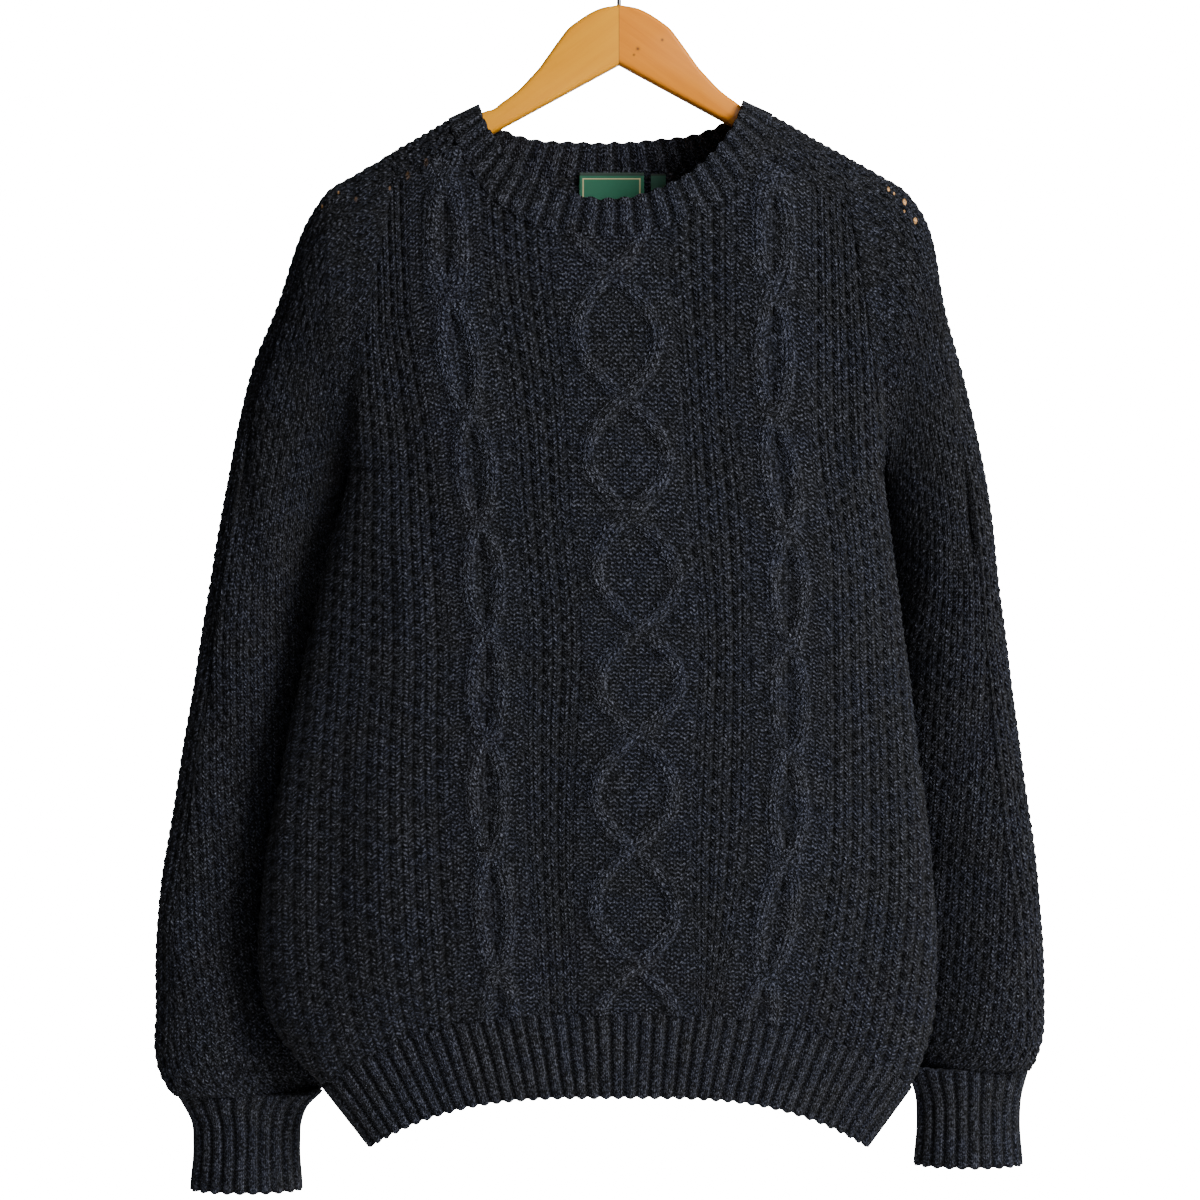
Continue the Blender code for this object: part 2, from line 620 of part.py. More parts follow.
def make_panel(name, face, material, collection, parent):
    """Front or back of the body: cables raised outside, plain inside."""
    last = len(CROSSINGS) - 1
    courses = np.concatenate((
        np.linspace(-1.0, 0.0, ROWS_AT_TOP + 1)[:-1],
        np.linspace(0.0, last, last * ROWS_PER_REPEAT + 1),
        np.linspace(last, last + 1.0, ROWS_AT_HEM + 1)[1:],
    ))
    outer = [panel_points(course, face, 1.0, 0.0) for course in courses]
    inner = [panel_points(course, face, 0.0, WALL) for course in INSIDE_COURSES]
    data = wall_mesh(name, outer, inner, False, courses, INSIDE_COURSES)
    return place_mesh(data, material, collection, parent)


# Ribbing


def even_shares(line, count, closed):
    """Shares of a densely sampled line's parameter that space points evenly along it."""
    steps = np.linalg.norm(np.diff(line, axis=0), axis=1)
    lengths = np.concatenate(([0.0], np.cumsum(steps)))
    wanted = np.linspace(0.0, lengths[-1], count + 1)
    shares = np.interp(wanted, lengths, np.linspace(0.0, 1.0, len(line)))
    return shares[:-1] if closed else shares


def section_normal(points, closed):
    """Level outward normals of a section, from its own points in the order seen from above."""
    if closed:
        along = np.roll(points, -1, axis=0) - np.roll(points, 1, axis=0)
    else:
        along = np.gradient(points, axis=0)
    level = np.stack((along[:, 1], -along[:, 0], np.zeros(len(points))), axis=-1)
    return unit(level)


class HemSurface:
    """Skin of a hem rib: across from left to right, and down from the seam to the lower edge."""

    closed = False

    def __init__(self, face):
        """Take the front or the back."""
        self.face = face

    def points(self, across_share, down_share):
        """Points at shares across and down."""
        place = 2.0 * np.asarray(across_share) - 1.0
        seam_x = x_at(place, HEM_SEAM_SIDE_Z)
        seam = skin(seam_x, hem_seam_z(seam_x), self.face)
        seam[..., 2] -= SEAM_GAP
        bottom = HEM_BOTTOM
        bottom_x = mix(bottom["left"], bottom["right"], (place + 1.0) / 2.0)
        bottom_z = mix(bottom["middle_z"], bottom["side_z"], np.abs(place) ** HEM_CURVE_POWER)
        round_share = (1.0 - np.minimum(np.abs(place), 1.0) ** SECTION_POWER) ** (1.0 / SECTION_POWER)
        bottom_y = SIDE_SEAM_Y[0] + self.face * HEM_BOTTOM_DEPTH[self.face] * round_share
        lower = np.stack((bottom_x, bottom_y, bottom_z), axis=-1)
        return mix(seam, lower, down_share)

    def offset(self, points, down_share, heights):
        """Points of one row moved out by heights."""
        level = section_normal(points, self.closed) * -self.face
        above = skin_normal(points[:, 0], points[:, 2], self.face)
        normals = unit(mix(above, level, math.sqrt(down_share)))
        return clear_of_seam(points + normals * heights[:, None], self.face)


class NeckSurface:
    """Skin of the neckband: round from the right side, and down from its upper edge to its seam."""

    closed = True

    def loop(self, angle, shape):
        """Points of the seam or the upper edge."""
        x = shape["centre_x"] + shape["half_width"] * np.cos(angle)
        sine = np.sin(angle)
        fall = np.where(sine < 0, shape["front_fall"], shape["back_fall"])
        z = ridge_z(x) - fall * np.abs(sine) ** shape["power"]
        front = skin(x, z, FRONT)
        back = skin(x, z, BACK)
        return np.where((sine < 0)[..., None], front, back)

    def points(self, round_share, down_share):
        """Points at shares round and down."""
        angle = 2.0 * math.pi * np.asarray(round_share)
        return mix(self.loop(angle, NECK_TOP), self.loop(angle, NECK_SEAM), down_share)

    def offset(self, points, down_share, heights):
        """Points of one row moved out by heights."""
        front = skin_normal(points[:, 0], points[:, 2], FRONT)
        back = skin_normal(points[:, 0], points[:, 2], BACK)
        return points + np.where((points[:, 1] < 0)[:, None], front, back) * heights[:, None]


class CuffSurface:
    """Skin of a cuff: round from its outer end, and down from the sleeve to its lower edge."""

    closed = True

    def __init__(self, rows, seam_z):
        """Take the cuff's table and the height of its seam."""
        self.columns = named_columns(CUFF_COLUMNS, rows)
        self.seam_z = seam_z

    def points(self, round_share, down_share):
        """Points at shares round and down."""
        fall = self.columns["fall"][-1] * down_share
        outer, inner, depth = (
            smooth_curve(self.columns["fall"], self.columns[name], fall) for name in CUFF_COLUMNS[1:])
        angle = 2.0 * math.pi * np.asarray(round_share)
        x = (outer + inner) / 2 + (outer - inner) / 2 * np.cos(angle)
        y = CUFF_CENTRE_Y - depth * np.sin(angle)
        z = np.full_like(x, self.seam_z - SEAM_GAP - fall)
        return np.stack((x, y, z), axis=-1)

    def offset(self, points, down_share, heights):
        """Points of one row moved out by heights."""
        side = np.sign(points[0, 0])
        return points - section_normal(points, self.closed) * side * heights[:, None]


def make_ribbing(name, surface, ribs, rows, wall, material, collection, parent):
    """Ribbed band on a surface: ribs raised outside, plain inside."""
    dense = surface.points(np.linspace(0.0, 1.0, DENSE_POINTS), RIB_SPACING_ROW)
    outer_shares = even_shares(dense, ribs * len(RIB_PROFILE), surface.closed)
    inner_shares = even_shares(dense, ribs, surface.closed)
    heights = np.resize(RIB_PROFILE, len(outer_shares)) * RIB_HEIGHT
    inset = np.full(len(inner_shares), -wall)
    outer = [surface.offset(surface.points(outer_shares, row), row, heights) for row in rows]
    inner = [surface.offset(surface.points(inner_shares, row), row, inset) for row in rows]
    return place_mesh(wall_mesh(name, outer, inner, surface.closed), material, collection, parent)


# Sleeves


def armhole_angles(side):
    """Angles round a sleeve: over the strap from back to front, then round under the arm."""
    front = math.acos(1.0 - STRAP_FALL[(side, FRONT)] / ARMHOLE_HALF_HEIGHT)
    back = math.acos(1.0 - STRAP_FALL[(side, BACK)] / ARMHOLE_HALF_HEIGHT)
    top = np.array([share * (front if share > 0 else back) for share in STRAP_COLUMNS])
    half = SLEEVE_BOTTOM_COLUMNS // 2
    lower_front = np.linspace(front, math.pi, half + 1)[1:]
    lower_back = np.linspace(math.pi, 2.0 * math.pi - back, half + 1)[1:-1]
    return top, np.concatenate((top, lower_front, lower_back))


def armhole_ring(side):
    """Ring of the sleeve along the armhole."""
    top, angles = armhole_angles(side)
    fall = ARMHOLE_HALF_HEIGHT * (1.0 - np.cos(angles))
    corner_xs = [edge_x(strap_corner_z(side, face), side) for face in (BACK, FRONT)]
    top_x = np.interp(angles, (angles[0], top[-1]), corner_xs)
    top_z = ridge_z(top_x[len(top) // 2])
    z = top_z - fall * (top_z - UNDERARM_Z) / (2.0 * ARMHOLE_HALF_HEIGHT)
    over_strap = np.arange(len(angles)) < len(top)
    z = np.where(over_strap, ridge_z(top_x) - fall, z)
    x = np.where(over_strap, top_x, edge_x(z, side)) + side * ARMHOLE_GAP
    return on_either_face(skin, x, z, np.sin(angles) > 0)


def sleeve_ring(row, angles):
    """Ring of the sleeve between its outer and inner ends."""
    at = dict(zip(SLEEVE_COLUMNS, row))
    share = (1.0 - np.cos(angles)) / 2.0
    x = mix(at["outer_x"], at["inner_x"], share)
    y = mix(at["outer_y"], at["inner_y"], share) - at["half_depth"] * np.sin(angles)
    z = mix(at["outer_z"], at["inner_z"], share)
    return np.stack((x, y, z), axis=-1)


def strap_rows(side, ring):
    """Rows of the strap from the neck to the armhole, whose last row is the ring's top."""
    top, _ = armhole_angles(side)
    fall = ARMHOLE_HALF_HEIGHT * (1.0 - np.cos(top))
    neck_angles = np.linspace(0.0, math.pi / 2, DENSE_POINTS)
    falls = {
        face: shape_fall * np.sin(neck_angles) ** NECK_SEAM["power"]
        for face, shape_fall in ((FRONT, NECK_SEAM["front_fall"]), (BACK, NECK_SEAM["back_fall"]))
    }
    faces = [FRONT if angle > 0 else BACK for angle in top]
    neck_angle = np.array([np.interp(fall[i], falls[face], neck_angles) for i, face in enumerate(faces)])
    neck_x = NECK_SEAM["centre_x"] + side * (NECK_SEAM["half_width"] * np.cos(neck_angle) + CURVED_SEAM_EASE)
    rows = []
    for share in np.linspace(0.0, 1.0, STRAP_ROWS + 1):
        x = mix(neck_x, ring[: len(top), 0], share)
        rows.append(on_either_face(skin, x, ridge_z(x) - fall, top > 0))
    return rows


def on_either_face(function, x, z, is_front):
    """Value of a skin function, on the front where that is so and on the back elsewhere."""
    return np.where(is_front[:, None], function(x, z, FRONT), function(x, z, BACK))


def ring_normals(rings, side):
    """Outward normals at the points of a sleeve's rings."""
    rings = np.array(rings)
    around = np.roll(rings, -1, axis=1) - np.roll(rings, 1, axis=1)
    down = np.gradient(rings, axis=0)
    return unit(np.cross(around, down)) * side


def make_sleeve(name, side, table, material, collection, parent):
    """Sleeve with its saddle strap: one wall, whose inside repeats its outside, set in."""
    top, angles = armhole_angles(side)
    rings = [armhole_ring(side)] + [sleeve_ring(row, angles) for row in table]
    normals = ring_normals(rings, side)
    strap = strap_rows(side, rings[0])
    strap_normals = [
        on_either_face(skin_normal, np.array(row)[:, 0], np.array(row)[:, 2], top > 0) for row in strap
    ]
    normals[0][: len(top)] = strap_normals[-1]
    normals[0][:, 0] = 0.0
    normals[0] = unit(normals[0])
    mesh = bmesh.new()
    layers = []
    for inset in (0.0, WALL):
        tube = add_rows(mesh, [ring - normal * inset for ring, normal in zip(rings, normals)], closed=True)
        flap = [
            [mesh.verts.new(point) for point in row - normal * inset]
            for row, normal in zip(strap[:-1], strap_normals)
        ]
        flap.append(tube[0][: len(top)])
        for near, far in zip(flap, flap[1:]):
            for i in range(len(top) - 1):
                mesh.faces.new((near[i], near[i + 1], far[i + 1], far[i]))
        layers.append([vertex for row in tube + flap[:-1] for vertex in row])
    inside_of = dict(zip(*layers))
    rim = [edge for edge in mesh.edges if len(edge.link_faces) == 1 and edge.verts[0] in inside_of]
    for edge in rim:
        first, second = edge.verts
        mesh.faces.new((first, second, inside_of[second], inside_of[first]))
    return place_mesh(finish_mesh(name, mesh), material, collection, parent)


# Labels


def make_label(name, size, material, collection, parent):
    """Flat label that hangs inside the back neck, shaped by the cloth behind it."""
    xs = size["centre_x"] + np.linspace(-0.5, 0.5, LABEL_COLUMNS) * size["width"]
    layers = []
    for inset in (WALL + LABEL_GAP, WALL + LABEL_GAP + LABEL_THICKNESS):
        grid = []
        for z in size["top_z"] - np.linspace(0.0, 1.0, LABEL_ROWS) * size["height"]:
            zs = np.full_like(xs, z)
            grid.append(skin(xs, zs, BACK) - skin_normal(xs, zs, BACK) * inset)
        layers.append(grid)
    return place_mesh(wall_mesh(name, layers[0], layers[1], closed=False), material, collection, parent)


# Hanger


def arm_outline(side):
    """Outline of one hanger arm, out along its upper edge and back along the lower one."""
    upper = [(side * max(x, ARM_JOINT_GAP), z) for x, z in ARM_UPPER]
    tip_x = ARM_TIP_X - ARM_END_RADIUS
    under_x = np.linspace(ARM_UNDER_BAND_X, tip_x, ARM_UNDER_BAND_STEPS)
    under = [(side * x, float(ridge_z(side * x)) - ARM_BELOW_SHOULDER) for x in under_x]
    tip_z = under[-1][1] - ARM_END_RADIUS - ARM_END_DROP
    tip = [
        (side * (tip_x + ARM_END_RADIUS * math.cos(turn)), tip_z + ARM_END_RADIUS * math.sin(turn))
        for turn in np.radians(ARM_END_TURNS)
    ]
    lower = [(side * max(x, ARM_JOINT_GAP), z) for x, z in ARM_LOWER]
    return upper + under + tip + lower


def make_arm(name, side, material, collection, parent):
    """Hanger arm: a flat outline with some thickness and rounded edges."""
    curve = bpy.data.curves.new(name, "CURVE")
    curve.dimensions = "2D"
    curve.fill_mode = "BOTH"
    curve.extrude = ARM_THICKNESS / 2 - ARM_ROUNDING
    curve.bevel_depth = ARM_ROUNDING
    curve.bevel_resolution = 1
    curve.offset = -ARM_ROUNDING
    outline = arm_outline(side)
    spline = curve.splines.new("POLY")
    spline.points.add(len(outline) - 1)
    for point, (x, z) in zip(spline.points, outline):
        point.co = (x, z, 0.0, 1.0)
    spline.use_cyclic_u = True
    curve.materials.append(material)
    obj = bpy.data.objects.new(name, curve)
    obj.rotation_euler = (math.pi / 2, 0.0, 0.0)
    collection.objects.link(obj)
    obj.parent = parent
    return obj


def hook_route():
    """Points of the hook's wire: from its open end over the top, down and into the stem."""
    centre_z = HOOK_WIRE_RADIUS - HOOK_RADIUS
    arc = [
        (HOOK_RADIUS * math.cos(angle), centre_z + HOOK_RADIUS * math.sin(angle))
        for angle in np.linspace(HOOK_OPEN_ANGLE, HOOK_END_ANGLE, HOOK_STEPS)
    ]
    stem_foot_z = ARM_UPPER[0][1] + SEAM_GAP
    last_x, last_z = arc[-1]
    neck = [
        (last_x * (1 - share) ** 2, mix(last_z, HOOK_STEM_TOP_Z, share))
        for share in np.linspace(0.0, 1.0, HOOK_NECK_STEPS)[1:]
    ]
    return arc + neck + [(0.0, mix(HOOK_STEM_TOP_Z, stem_foot_z, 0.5)), (0.0, stem_foot_z)]


def make_hook(name, material, collection, parent):
    """Wire hook: a round wire along its route."""
    curve = bpy.data.curves.new(name, "CURVE")
    curve.dimensions = "3D"
    curve.bevel_depth = HOOK_WIRE_RADIUS
    curve.bevel_resolution = 2
    curve.use_fill_caps = True
    route = hook_route()
    spline = curve.splines.new("POLY")
    spline.points.add(len(route) - 1)
    for point, (x, z) in zip(spline.points, route):
        point.co = (x, 0.0, z, 1.0)
    curve.materials.append(material)
    obj = bpy.data.objects.new(name, curve)
    collection.objects.link(obj)
    obj.parent = parent
    return obj


def main():
    """Build the sweater and its hanger."""
    clear_scene()
    collection = bpy.data.collections.new("aran sweater")
    bpy.context.scene.collection.children.link(collection)
    parent = bpy.data.objects.new("sweater", None)
    collection.objects.link(parent)
    wool = make_material(WOOL)
    wood = make_material(WOOD)
    wire = make_material(WIRE)
    green = make_material(GREEN)

    make_panel("front_panel", FRONT, wool, collection, parent)
    make_panel("back_panel", BACK, wool, collection, parent)
    make_sleeve("left_sleeve", LEFT, LEFT_SLEEVE, wool, collection, parent)
    make_sleeve("right_sleeve", RIGHT, RIGHT_SLEEVE, wool, collection, parent)
    make_ribbing("neckband", NeckSurface(), NECK_RIBS, NECK_ROWS, NECK_WALL, wool, collection, parent)
    for name, face in (("front_hem_rib", FRONT), ("back_hem_rib", BACK)):
        make_ribbing(name, HemSurface(face), HEM_RIBS, HEM_ROWS, RIB_WALL, wool, collection, parent)
    cuffs = (("left_cuff", LEFT_CUFF, LEFT_SLEEVE), ("right_cuff", RIGHT_CUFF, RIGHT_SLEEVE))
    for name, table, sleeve in cuffs:
        surface = CuffSurface(table, sleeve[-1][1])
        make_ribbing(name, surface, CUFF_RIBS, CUFF_ROWS, RIB_WALL, wool, collection, parent)
    make_label("neck_label", NECK_LABEL, green, collection, parent)
    make_label("size_tab", SIZE_TAB, green, collection, parent)
    make_arm("hanger_arm_left", LEFT, wood, collection, parent)
    make_arm("hanger_arm_right", RIGHT, wood, collection, parent)
    make_hook("hanger_hook", wire, collection, parent)


main()
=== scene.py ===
"""Dresses the aran sweater and its wooden hanger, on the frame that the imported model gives.

Every knitted piece lies on the skin, the same surface that the solids were made on. It is knitted here
in fine relief: cords, waffle and ribs are raised in the mesh, and single stitches are in the material.
"""

from __future__ import annotations

import json
import logging
import math
from dataclasses import dataclass
from enum import Enum

import bmesh
import bpy
import numpy as np
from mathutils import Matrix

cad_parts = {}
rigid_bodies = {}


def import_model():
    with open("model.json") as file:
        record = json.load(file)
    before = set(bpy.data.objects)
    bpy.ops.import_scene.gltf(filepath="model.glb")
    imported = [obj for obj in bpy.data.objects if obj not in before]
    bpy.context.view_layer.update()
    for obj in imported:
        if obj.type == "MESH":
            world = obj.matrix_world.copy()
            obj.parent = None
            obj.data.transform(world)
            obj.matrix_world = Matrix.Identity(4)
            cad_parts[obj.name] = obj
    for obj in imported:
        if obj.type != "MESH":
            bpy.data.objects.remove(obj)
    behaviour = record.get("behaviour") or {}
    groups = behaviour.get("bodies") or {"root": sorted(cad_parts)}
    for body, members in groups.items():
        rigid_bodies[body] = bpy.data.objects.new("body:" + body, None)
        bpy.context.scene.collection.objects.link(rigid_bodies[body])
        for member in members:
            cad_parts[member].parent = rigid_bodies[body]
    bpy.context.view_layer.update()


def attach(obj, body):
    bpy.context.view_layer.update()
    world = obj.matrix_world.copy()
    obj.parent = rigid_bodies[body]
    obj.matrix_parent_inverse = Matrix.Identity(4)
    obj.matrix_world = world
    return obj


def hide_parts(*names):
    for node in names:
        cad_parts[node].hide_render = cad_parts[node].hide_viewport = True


Array = np.ndarray
log = logging.getLogger("sweater")

MM = 0.001
# Points of a line that is only measured
MEASURED_POINTS = 1201


class Face(Enum):
    """Front or back of the garment, with the way it faces along Y."""

    FRONT = -1.0
    BACK = 1.0


class Side(Enum):
    """Left or right of the garment as seen from the front, with its way along X."""

    LEFT = -1.0
    RIGHT = 1.0


# Arithmetic on arrays


def mix(a: Array | float, b: Array | float, share: Array | float) -> Array | float:
    """Value that lies a share of the way from a to b."""
    return a + (b - a) * share


def unit(vectors: Array) -> Array:
    """Vectors scaled to length one."""
    return vectors / np.maximum(np.linalg.norm(vectors, axis=-1, keepdims=True), 1e-12)


def bell(distance: Array) -> Array:
    """Bell curve of height one and width one."""
    return np.exp(-np.square(distance))


def step_up(value: Array, low: float, high: float) -> Array:
    """Smooth step from 0 at low to 1 at high."""
    t = np.clip((value - low) / (high - low), 0.0, 1.0)
    return t * t * (3.0 - 2.0 * t)


def from_whole(value: Array) -> Array:
    """Signed distance to the nearest whole number."""
    return value - np.round(value)


def lengths_along(line: Array) -> Array:
    """Length along a line of points, from its start to each of them."""
    return np.concatenate(([0.0], np.cumsum(np.linalg.norm(np.diff(line, axis=0), axis=1))))


def smooth_curve(stations: Array, values: Array, at: Array | float) -> Array:
    """Cubic through values at rising stations, held level past both ends.

    Args:
        stations: Rising places at which the values are given.
        values: One value or one array of values for each station.
        at: Places to read.

    Returns:
        The values at those places.
    """
    stations = np.asarray(stations, dtype=float)
    values = np.asarray(values, dtype=float)
    at = np.clip(np.asarray(at, dtype=float), stations[0], stations[-1])
    slopes = np.gradient(values, stations, axis=0)
    low = np.clip(np.searchsorted(stations, at) - 1, 0, len(stations) - 2)
    span = stations[low + 1] - stations[low]
    t = (at - stations[low]) / span
    extra = (1,) * (values.ndim - 1)
    span = np.reshape(span, np.shape(span) + extra)
    t = np.reshape(t, np.shape(t) + extra)
    start = (2 * t**3 - 3 * t**2 + 1) * values[low] + (t**3 - 2 * t**2 + t) * span * slopes[low]
    end = (3 * t**2 - 2 * t**3) * values[low + 1] + (t**3 - t**2) * span * slopes[low + 1]
    return start + end


def uneven(u: Array, v: Array, seed: float) -> Array:
    """Slow, irregular wander between about -1 and 1, for knitting that is never quite even.

    Args:
        u: Place across.
        v: Place down.
        seed: Which wander of many.

    Returns:
        The wander at each place.
    """
    # The waves' lengths share no whole ratio, so that they don't repeat together
    first = np.sin(0.83 * u + 1.7 * seed + 1.3 * np.sin(0.61 * v + seed))
    second = np.sin(0.57 * v - 2.1 * seed + 1.1 * np.sin(0.47 * u - seed))
    third = np.sin(2.3 * u + 1.9 * v + 3.3 * seed)
    return (first + second + 0.6 * third) / 2.6


def grid_normals(points: Array, closed: bool) -> Array:
    """Normals of a grid of points, from its rows and columns.

    Args:
        points: Rows of points.
        closed: Whether each row's last point is its first one again.

    Returns:
        One vector for each point, along rows crossed with down the rows.
    """
    along = np.gradient(points, axis=1)
    if closed:
        ends = points[:, 1] - points[:, -2]
        along[:, 0] = ends / 2.0
        along[:, -1] = ends / 2.0
    down = np.gradient(points, axis=0)
    return unit(np.cross(along, down))


# The garment's form


@dataclass(frozen=True)
class Fold:
    """Soft trough or ridge in the body, from its upper to its lower end."""

    top_x: float
    top_z: float
    bottom_x: float
    bottom_z: float
    width: float
    depth: float


FRONT_FOLDS = (
    Fold(-0.166, -0.262, -0.138, -0.470, 0.017, -0.0050),
    Fold(-0.143, -0.300, -0.152, -0.560, 0.016, 0.0030),
    Fold(0.158, -0.285, 0.142, -0.450, 0.016, -0.0045),
    Fold(0.138, -0.330, 0.158, -0.600, 0.018, 0.0028),
    Fold(-0.196, -0.560, -0.214, -0.770, 0.020, -0.0040),
    Fold(-0.160, -0.600, -0.168, -0.790, 0.022, 0.0034),
    Fold(0.184, -0.590, 0.176, -0.780, 0.020, -0.0036),
    Fold(0.052, -0.640, 0.064, -0.800, 0.024, 0.0022),
    Fold(-0.046, -0.560, -0.030, -0.790, 0.024, -0.0020),
)
BACK_FOLDS = (
    Fold(-0.158, -0.270, -0.140, -0.480, 0.018, -0.0048),
    Fold(0.150, -0.280, 0.136, -0.470, 0.017, -0.0050),
    Fold(0.080, -0.330, 0.062, -0.620, 0.026, 0.0026),
    Fold(-0.072, -0.420, -0.098, -0.740, 0.026, 0.0030),
    Fold(0.170, -0.570, 0.184, -0.790, 0.020, -0.0040),
    Fold(-0.190, -0.600, -0.184, -0.790, 0.019, -0.0034),
)


@dataclass(frozen=True)
class Garment:
    """The skin of the body: one surface on which the panels, the neckband and the hem ribs lie."""

    centre_x: float = -0.003
    shoulder_depth: float = 0.036
    underarm_z: float = -0.400
    armhole_half_height: float = 0.11375
    section_power: float = 2.4
    hem_seam_middle_z: float = -0.7785
    hem_seam_side_z: float = -0.835
    hem_curve_power: float = 3.2
    hem_pinch: float = 0.12
    hem_pinch_reach: float = 0.022
    # Folds: where they set in and end along their length, and how late they fade towards the sides
    fold_start: tuple = (-0.12, 0.25)
    fold_end: tuple = (0.70, 1.12)
    fold_edge_power: int = 6
    ridge_distance: tuple = (0.000, 0.030, 0.060, 0.0945, 0.118, 0.143, 0.170, 0.194, 0.206)
    ridge_heights: tuple = (-0.105, -0.109, -0.1215, -0.140, -0.151, -0.1654, -0.180, -0.194, -0.203)
    roundness_z: tuple = (-0.480, -0.400, -0.360, -0.280)
    roundness: tuple = (1.0 / 2.4, 0.30, 0.40, 0.70)
    side_seam_z: tuple = (-0.500, -0.300)
    side_seam_y: tuple = (-0.012, 0.0)
    # Side edges: height, left X and right X, from the hem up
    edges: tuple = (
        (-0.835, -0.2090, 0.2060),
        (-0.819, -0.2260, 0.2140),
        (-0.790, -0.2460, 0.2230),
        (-0.748, -0.2550, 0.2250),
        (-0.700, -0.2530, 0.2230),
        (-0.620, -0.2410, 0.2150),
        (-0.535, -0.2230, 0.2040),
        (-0.449, -0.2030, 0.1930),
        (-0.400, -0.1910, 0.1870),
        (-0.384, -0.1885, 0.1855),
        (-0.293, -0.1760, 0.1735),
        (-0.250, -0.1685, 0.1675),
        (-0.208, -0.1610, 0.1600),
        (-0.130, -0.1580, 0.1570),
    )
    # Depth from the side seams: height, front depth and back depth
    depths: tuple = (
        (-0.840, 0.036, 0.040),
        (-0.800, 0.041, 0.047),
        (-0.755, 0.046, 0.053),
        (-0.700, 0.046, 0.053),
        (-0.550, 0.044, 0.050),
        (-0.400, 0.045, 0.046),
        (-0.300, 0.044, 0.042),
        (-0.240, 0.042, 0.038),
        (-0.130, 0.040, 0.036),
    )

    def ridge_z(self, x: Array | float) -> Array:
        """Height of the shoulder line.

        Args:
            x: Place along X.

        Returns:
            The height at each place.
        """
        distance = np.abs(np.asarray(x) - self.centre_x)
        inside = smooth_curve(self.ridge_distance, self.ridge_heights, distance)
        run = self.ridge_distance[-1] - self.ridge_distance[-2]
        slope = (self.ridge_heights[-1] - self.ridge_heights[-2]) / run
        return inside + slope * np.maximum(distance - self.ridge_distance[-1], 0.0)

    def edge_x(self, z: Array | float, side: Side) -> Array:
        """Side edge of the body at a height."""
        table = np.array(self.edges)
        return smooth_curve(table[:, 0], table[:, 1 if side is Side.LEFT else 2], z)

    def across(self, x: Array, z: Array | float) -> Array:
        """Place across the body: -1 at the left edge and 1 at the right one.

        Args:
            x: Place along X.
            z: Height.

        Returns:
            The place, which passes 1 outside the body.
        """
        left = self.edge_x(z, Side.LEFT)
        right = self.edge_x(z, Side.RIGHT)
        return (x - (left + right) / 2) / ((right - left) / 2)

    def x_at(self, place: Array, z: Array | float) -> Array:
        """X of a place across the body.

        Args:
            place: Place across, from -1 to 1.
            z: Height.

        Returns:
            X of each place.
        """
        left = self.edge_x(z, Side.LEFT)
        right = self.edge_x(z, Side.RIGHT)
        return (left + right) / 2 + place * (right - left) / 2

    def hem_seam_z(self, x: Array) -> Array:
        """Height of the seam between the body and the hem rib."""
        place = np.clip(self.across(x, self.hem_seam_side_z), -1.0, 1.0)
        return mix(self.hem_seam_middle_z, self.hem_seam_side_z, np.abs(place) ** self.hem_curve_power)

    def seam_y(self, z: Array | float) -> Array:
        """Y of the side seams."""
        return np.interp(z, self.side_seam_z, self.side_seam_y)

    def skin(self, x: Array, z: Array, face: Face) -> Array:
        """Points of the front or back of the body.

        Args:
            x: Place along X.
            z: Height.
            face: Front or back.

        Returns:
            The points.
        """
        place = self.across(x, z)
        table = np.array(self.depths)
        middle = smooth_curve(table[:, 0], table[:, 1 if face is Face.FRONT else 2], z)
        armhole_middle_z = self.underarm_z + self.armhole_half_height
        below_middle = np.clip((armhole_middle_z - z) / self.armhole_half_height, 0.0, 1.0)
        edge = self.shoulder_depth * np.sqrt(1.0 - below_middle**2)
        roundness = np.interp(z, self.roundness_z, self.roundness)
        bulge = (1.0 - np.minimum(np.abs(place), 1.0) ** self.section_power) ** roundness
        below_ridge = np.clip((self.ridge_z(x) - z) / self.armhole_half_height, 0.0, 1.0)
        shoulder = np.sqrt(1.0 - (1.0 - below_ridge) ** 2)
        above_hem = (z - self.hem_seam_z(x)) / self.hem_pinch_reach
        pinch = 1.0 - self.hem_pinch * bell(above_hem)
        depth = mix(edge, middle, bulge) * shoulder * pinch
        from_side = 1.0 - np.abs(np.clip(place, -1.0, 1.0)) ** self.fold_edge_power
        depth = depth + self.folding(x, z, face) * from_side
        y = self.seam_y(z) + face.value * depth
        return np.stack(np.broadcast_arrays(x, y, z), axis=-1)

    def folding(self, x: Array, z: Array, face: Face) -> Array:
        """Depth that the body's soft folds add to the skin.

        Args:
            x: Place along X.
            z: Height.
            face: Front or back.

        Returns:
            The depth at each place, outwards where it is positive.
        """
        total = np.zeros(np.broadcast(x, z).shape)
        for fold in FRONT_FOLDS if face is Face.FRONT else BACK_FOLDS:
            down = (fold.top_z - z) / (fold.top_z - fold.bottom_z)
            line_x = mix(fold.top_x, fold.bottom_x, np.clip(down, 0.0, 1.0))
            fade = step_up(down, *self.fold_start) * (1.0 - step_up(down, *self.fold_end))
            total = total + fold.depth * fade * bell((x - line_x) / fold.width)
        return total


GARMENT = Garment()


# Knitting: the chart of stitches, and the relief it raises


@dataclass
class Knit:
    """What the stitches are at each point of a grid, and how high they stand.

    The waffle, knit and purl arrays hold the place across, the place down and a share or a shade.
    """

    height: Array
    waffle: Array
    knit: Array
    purl: Array

    @staticmethod
    def plain(shape: tuple[int, int]) -> Knit:
        """Bare chart of a shape."""
        return Knit(np.zeros(shape), np.zeros(shape + (3,)), np.zeros(shape + (3,)), np.zeros(shape + (3,)))


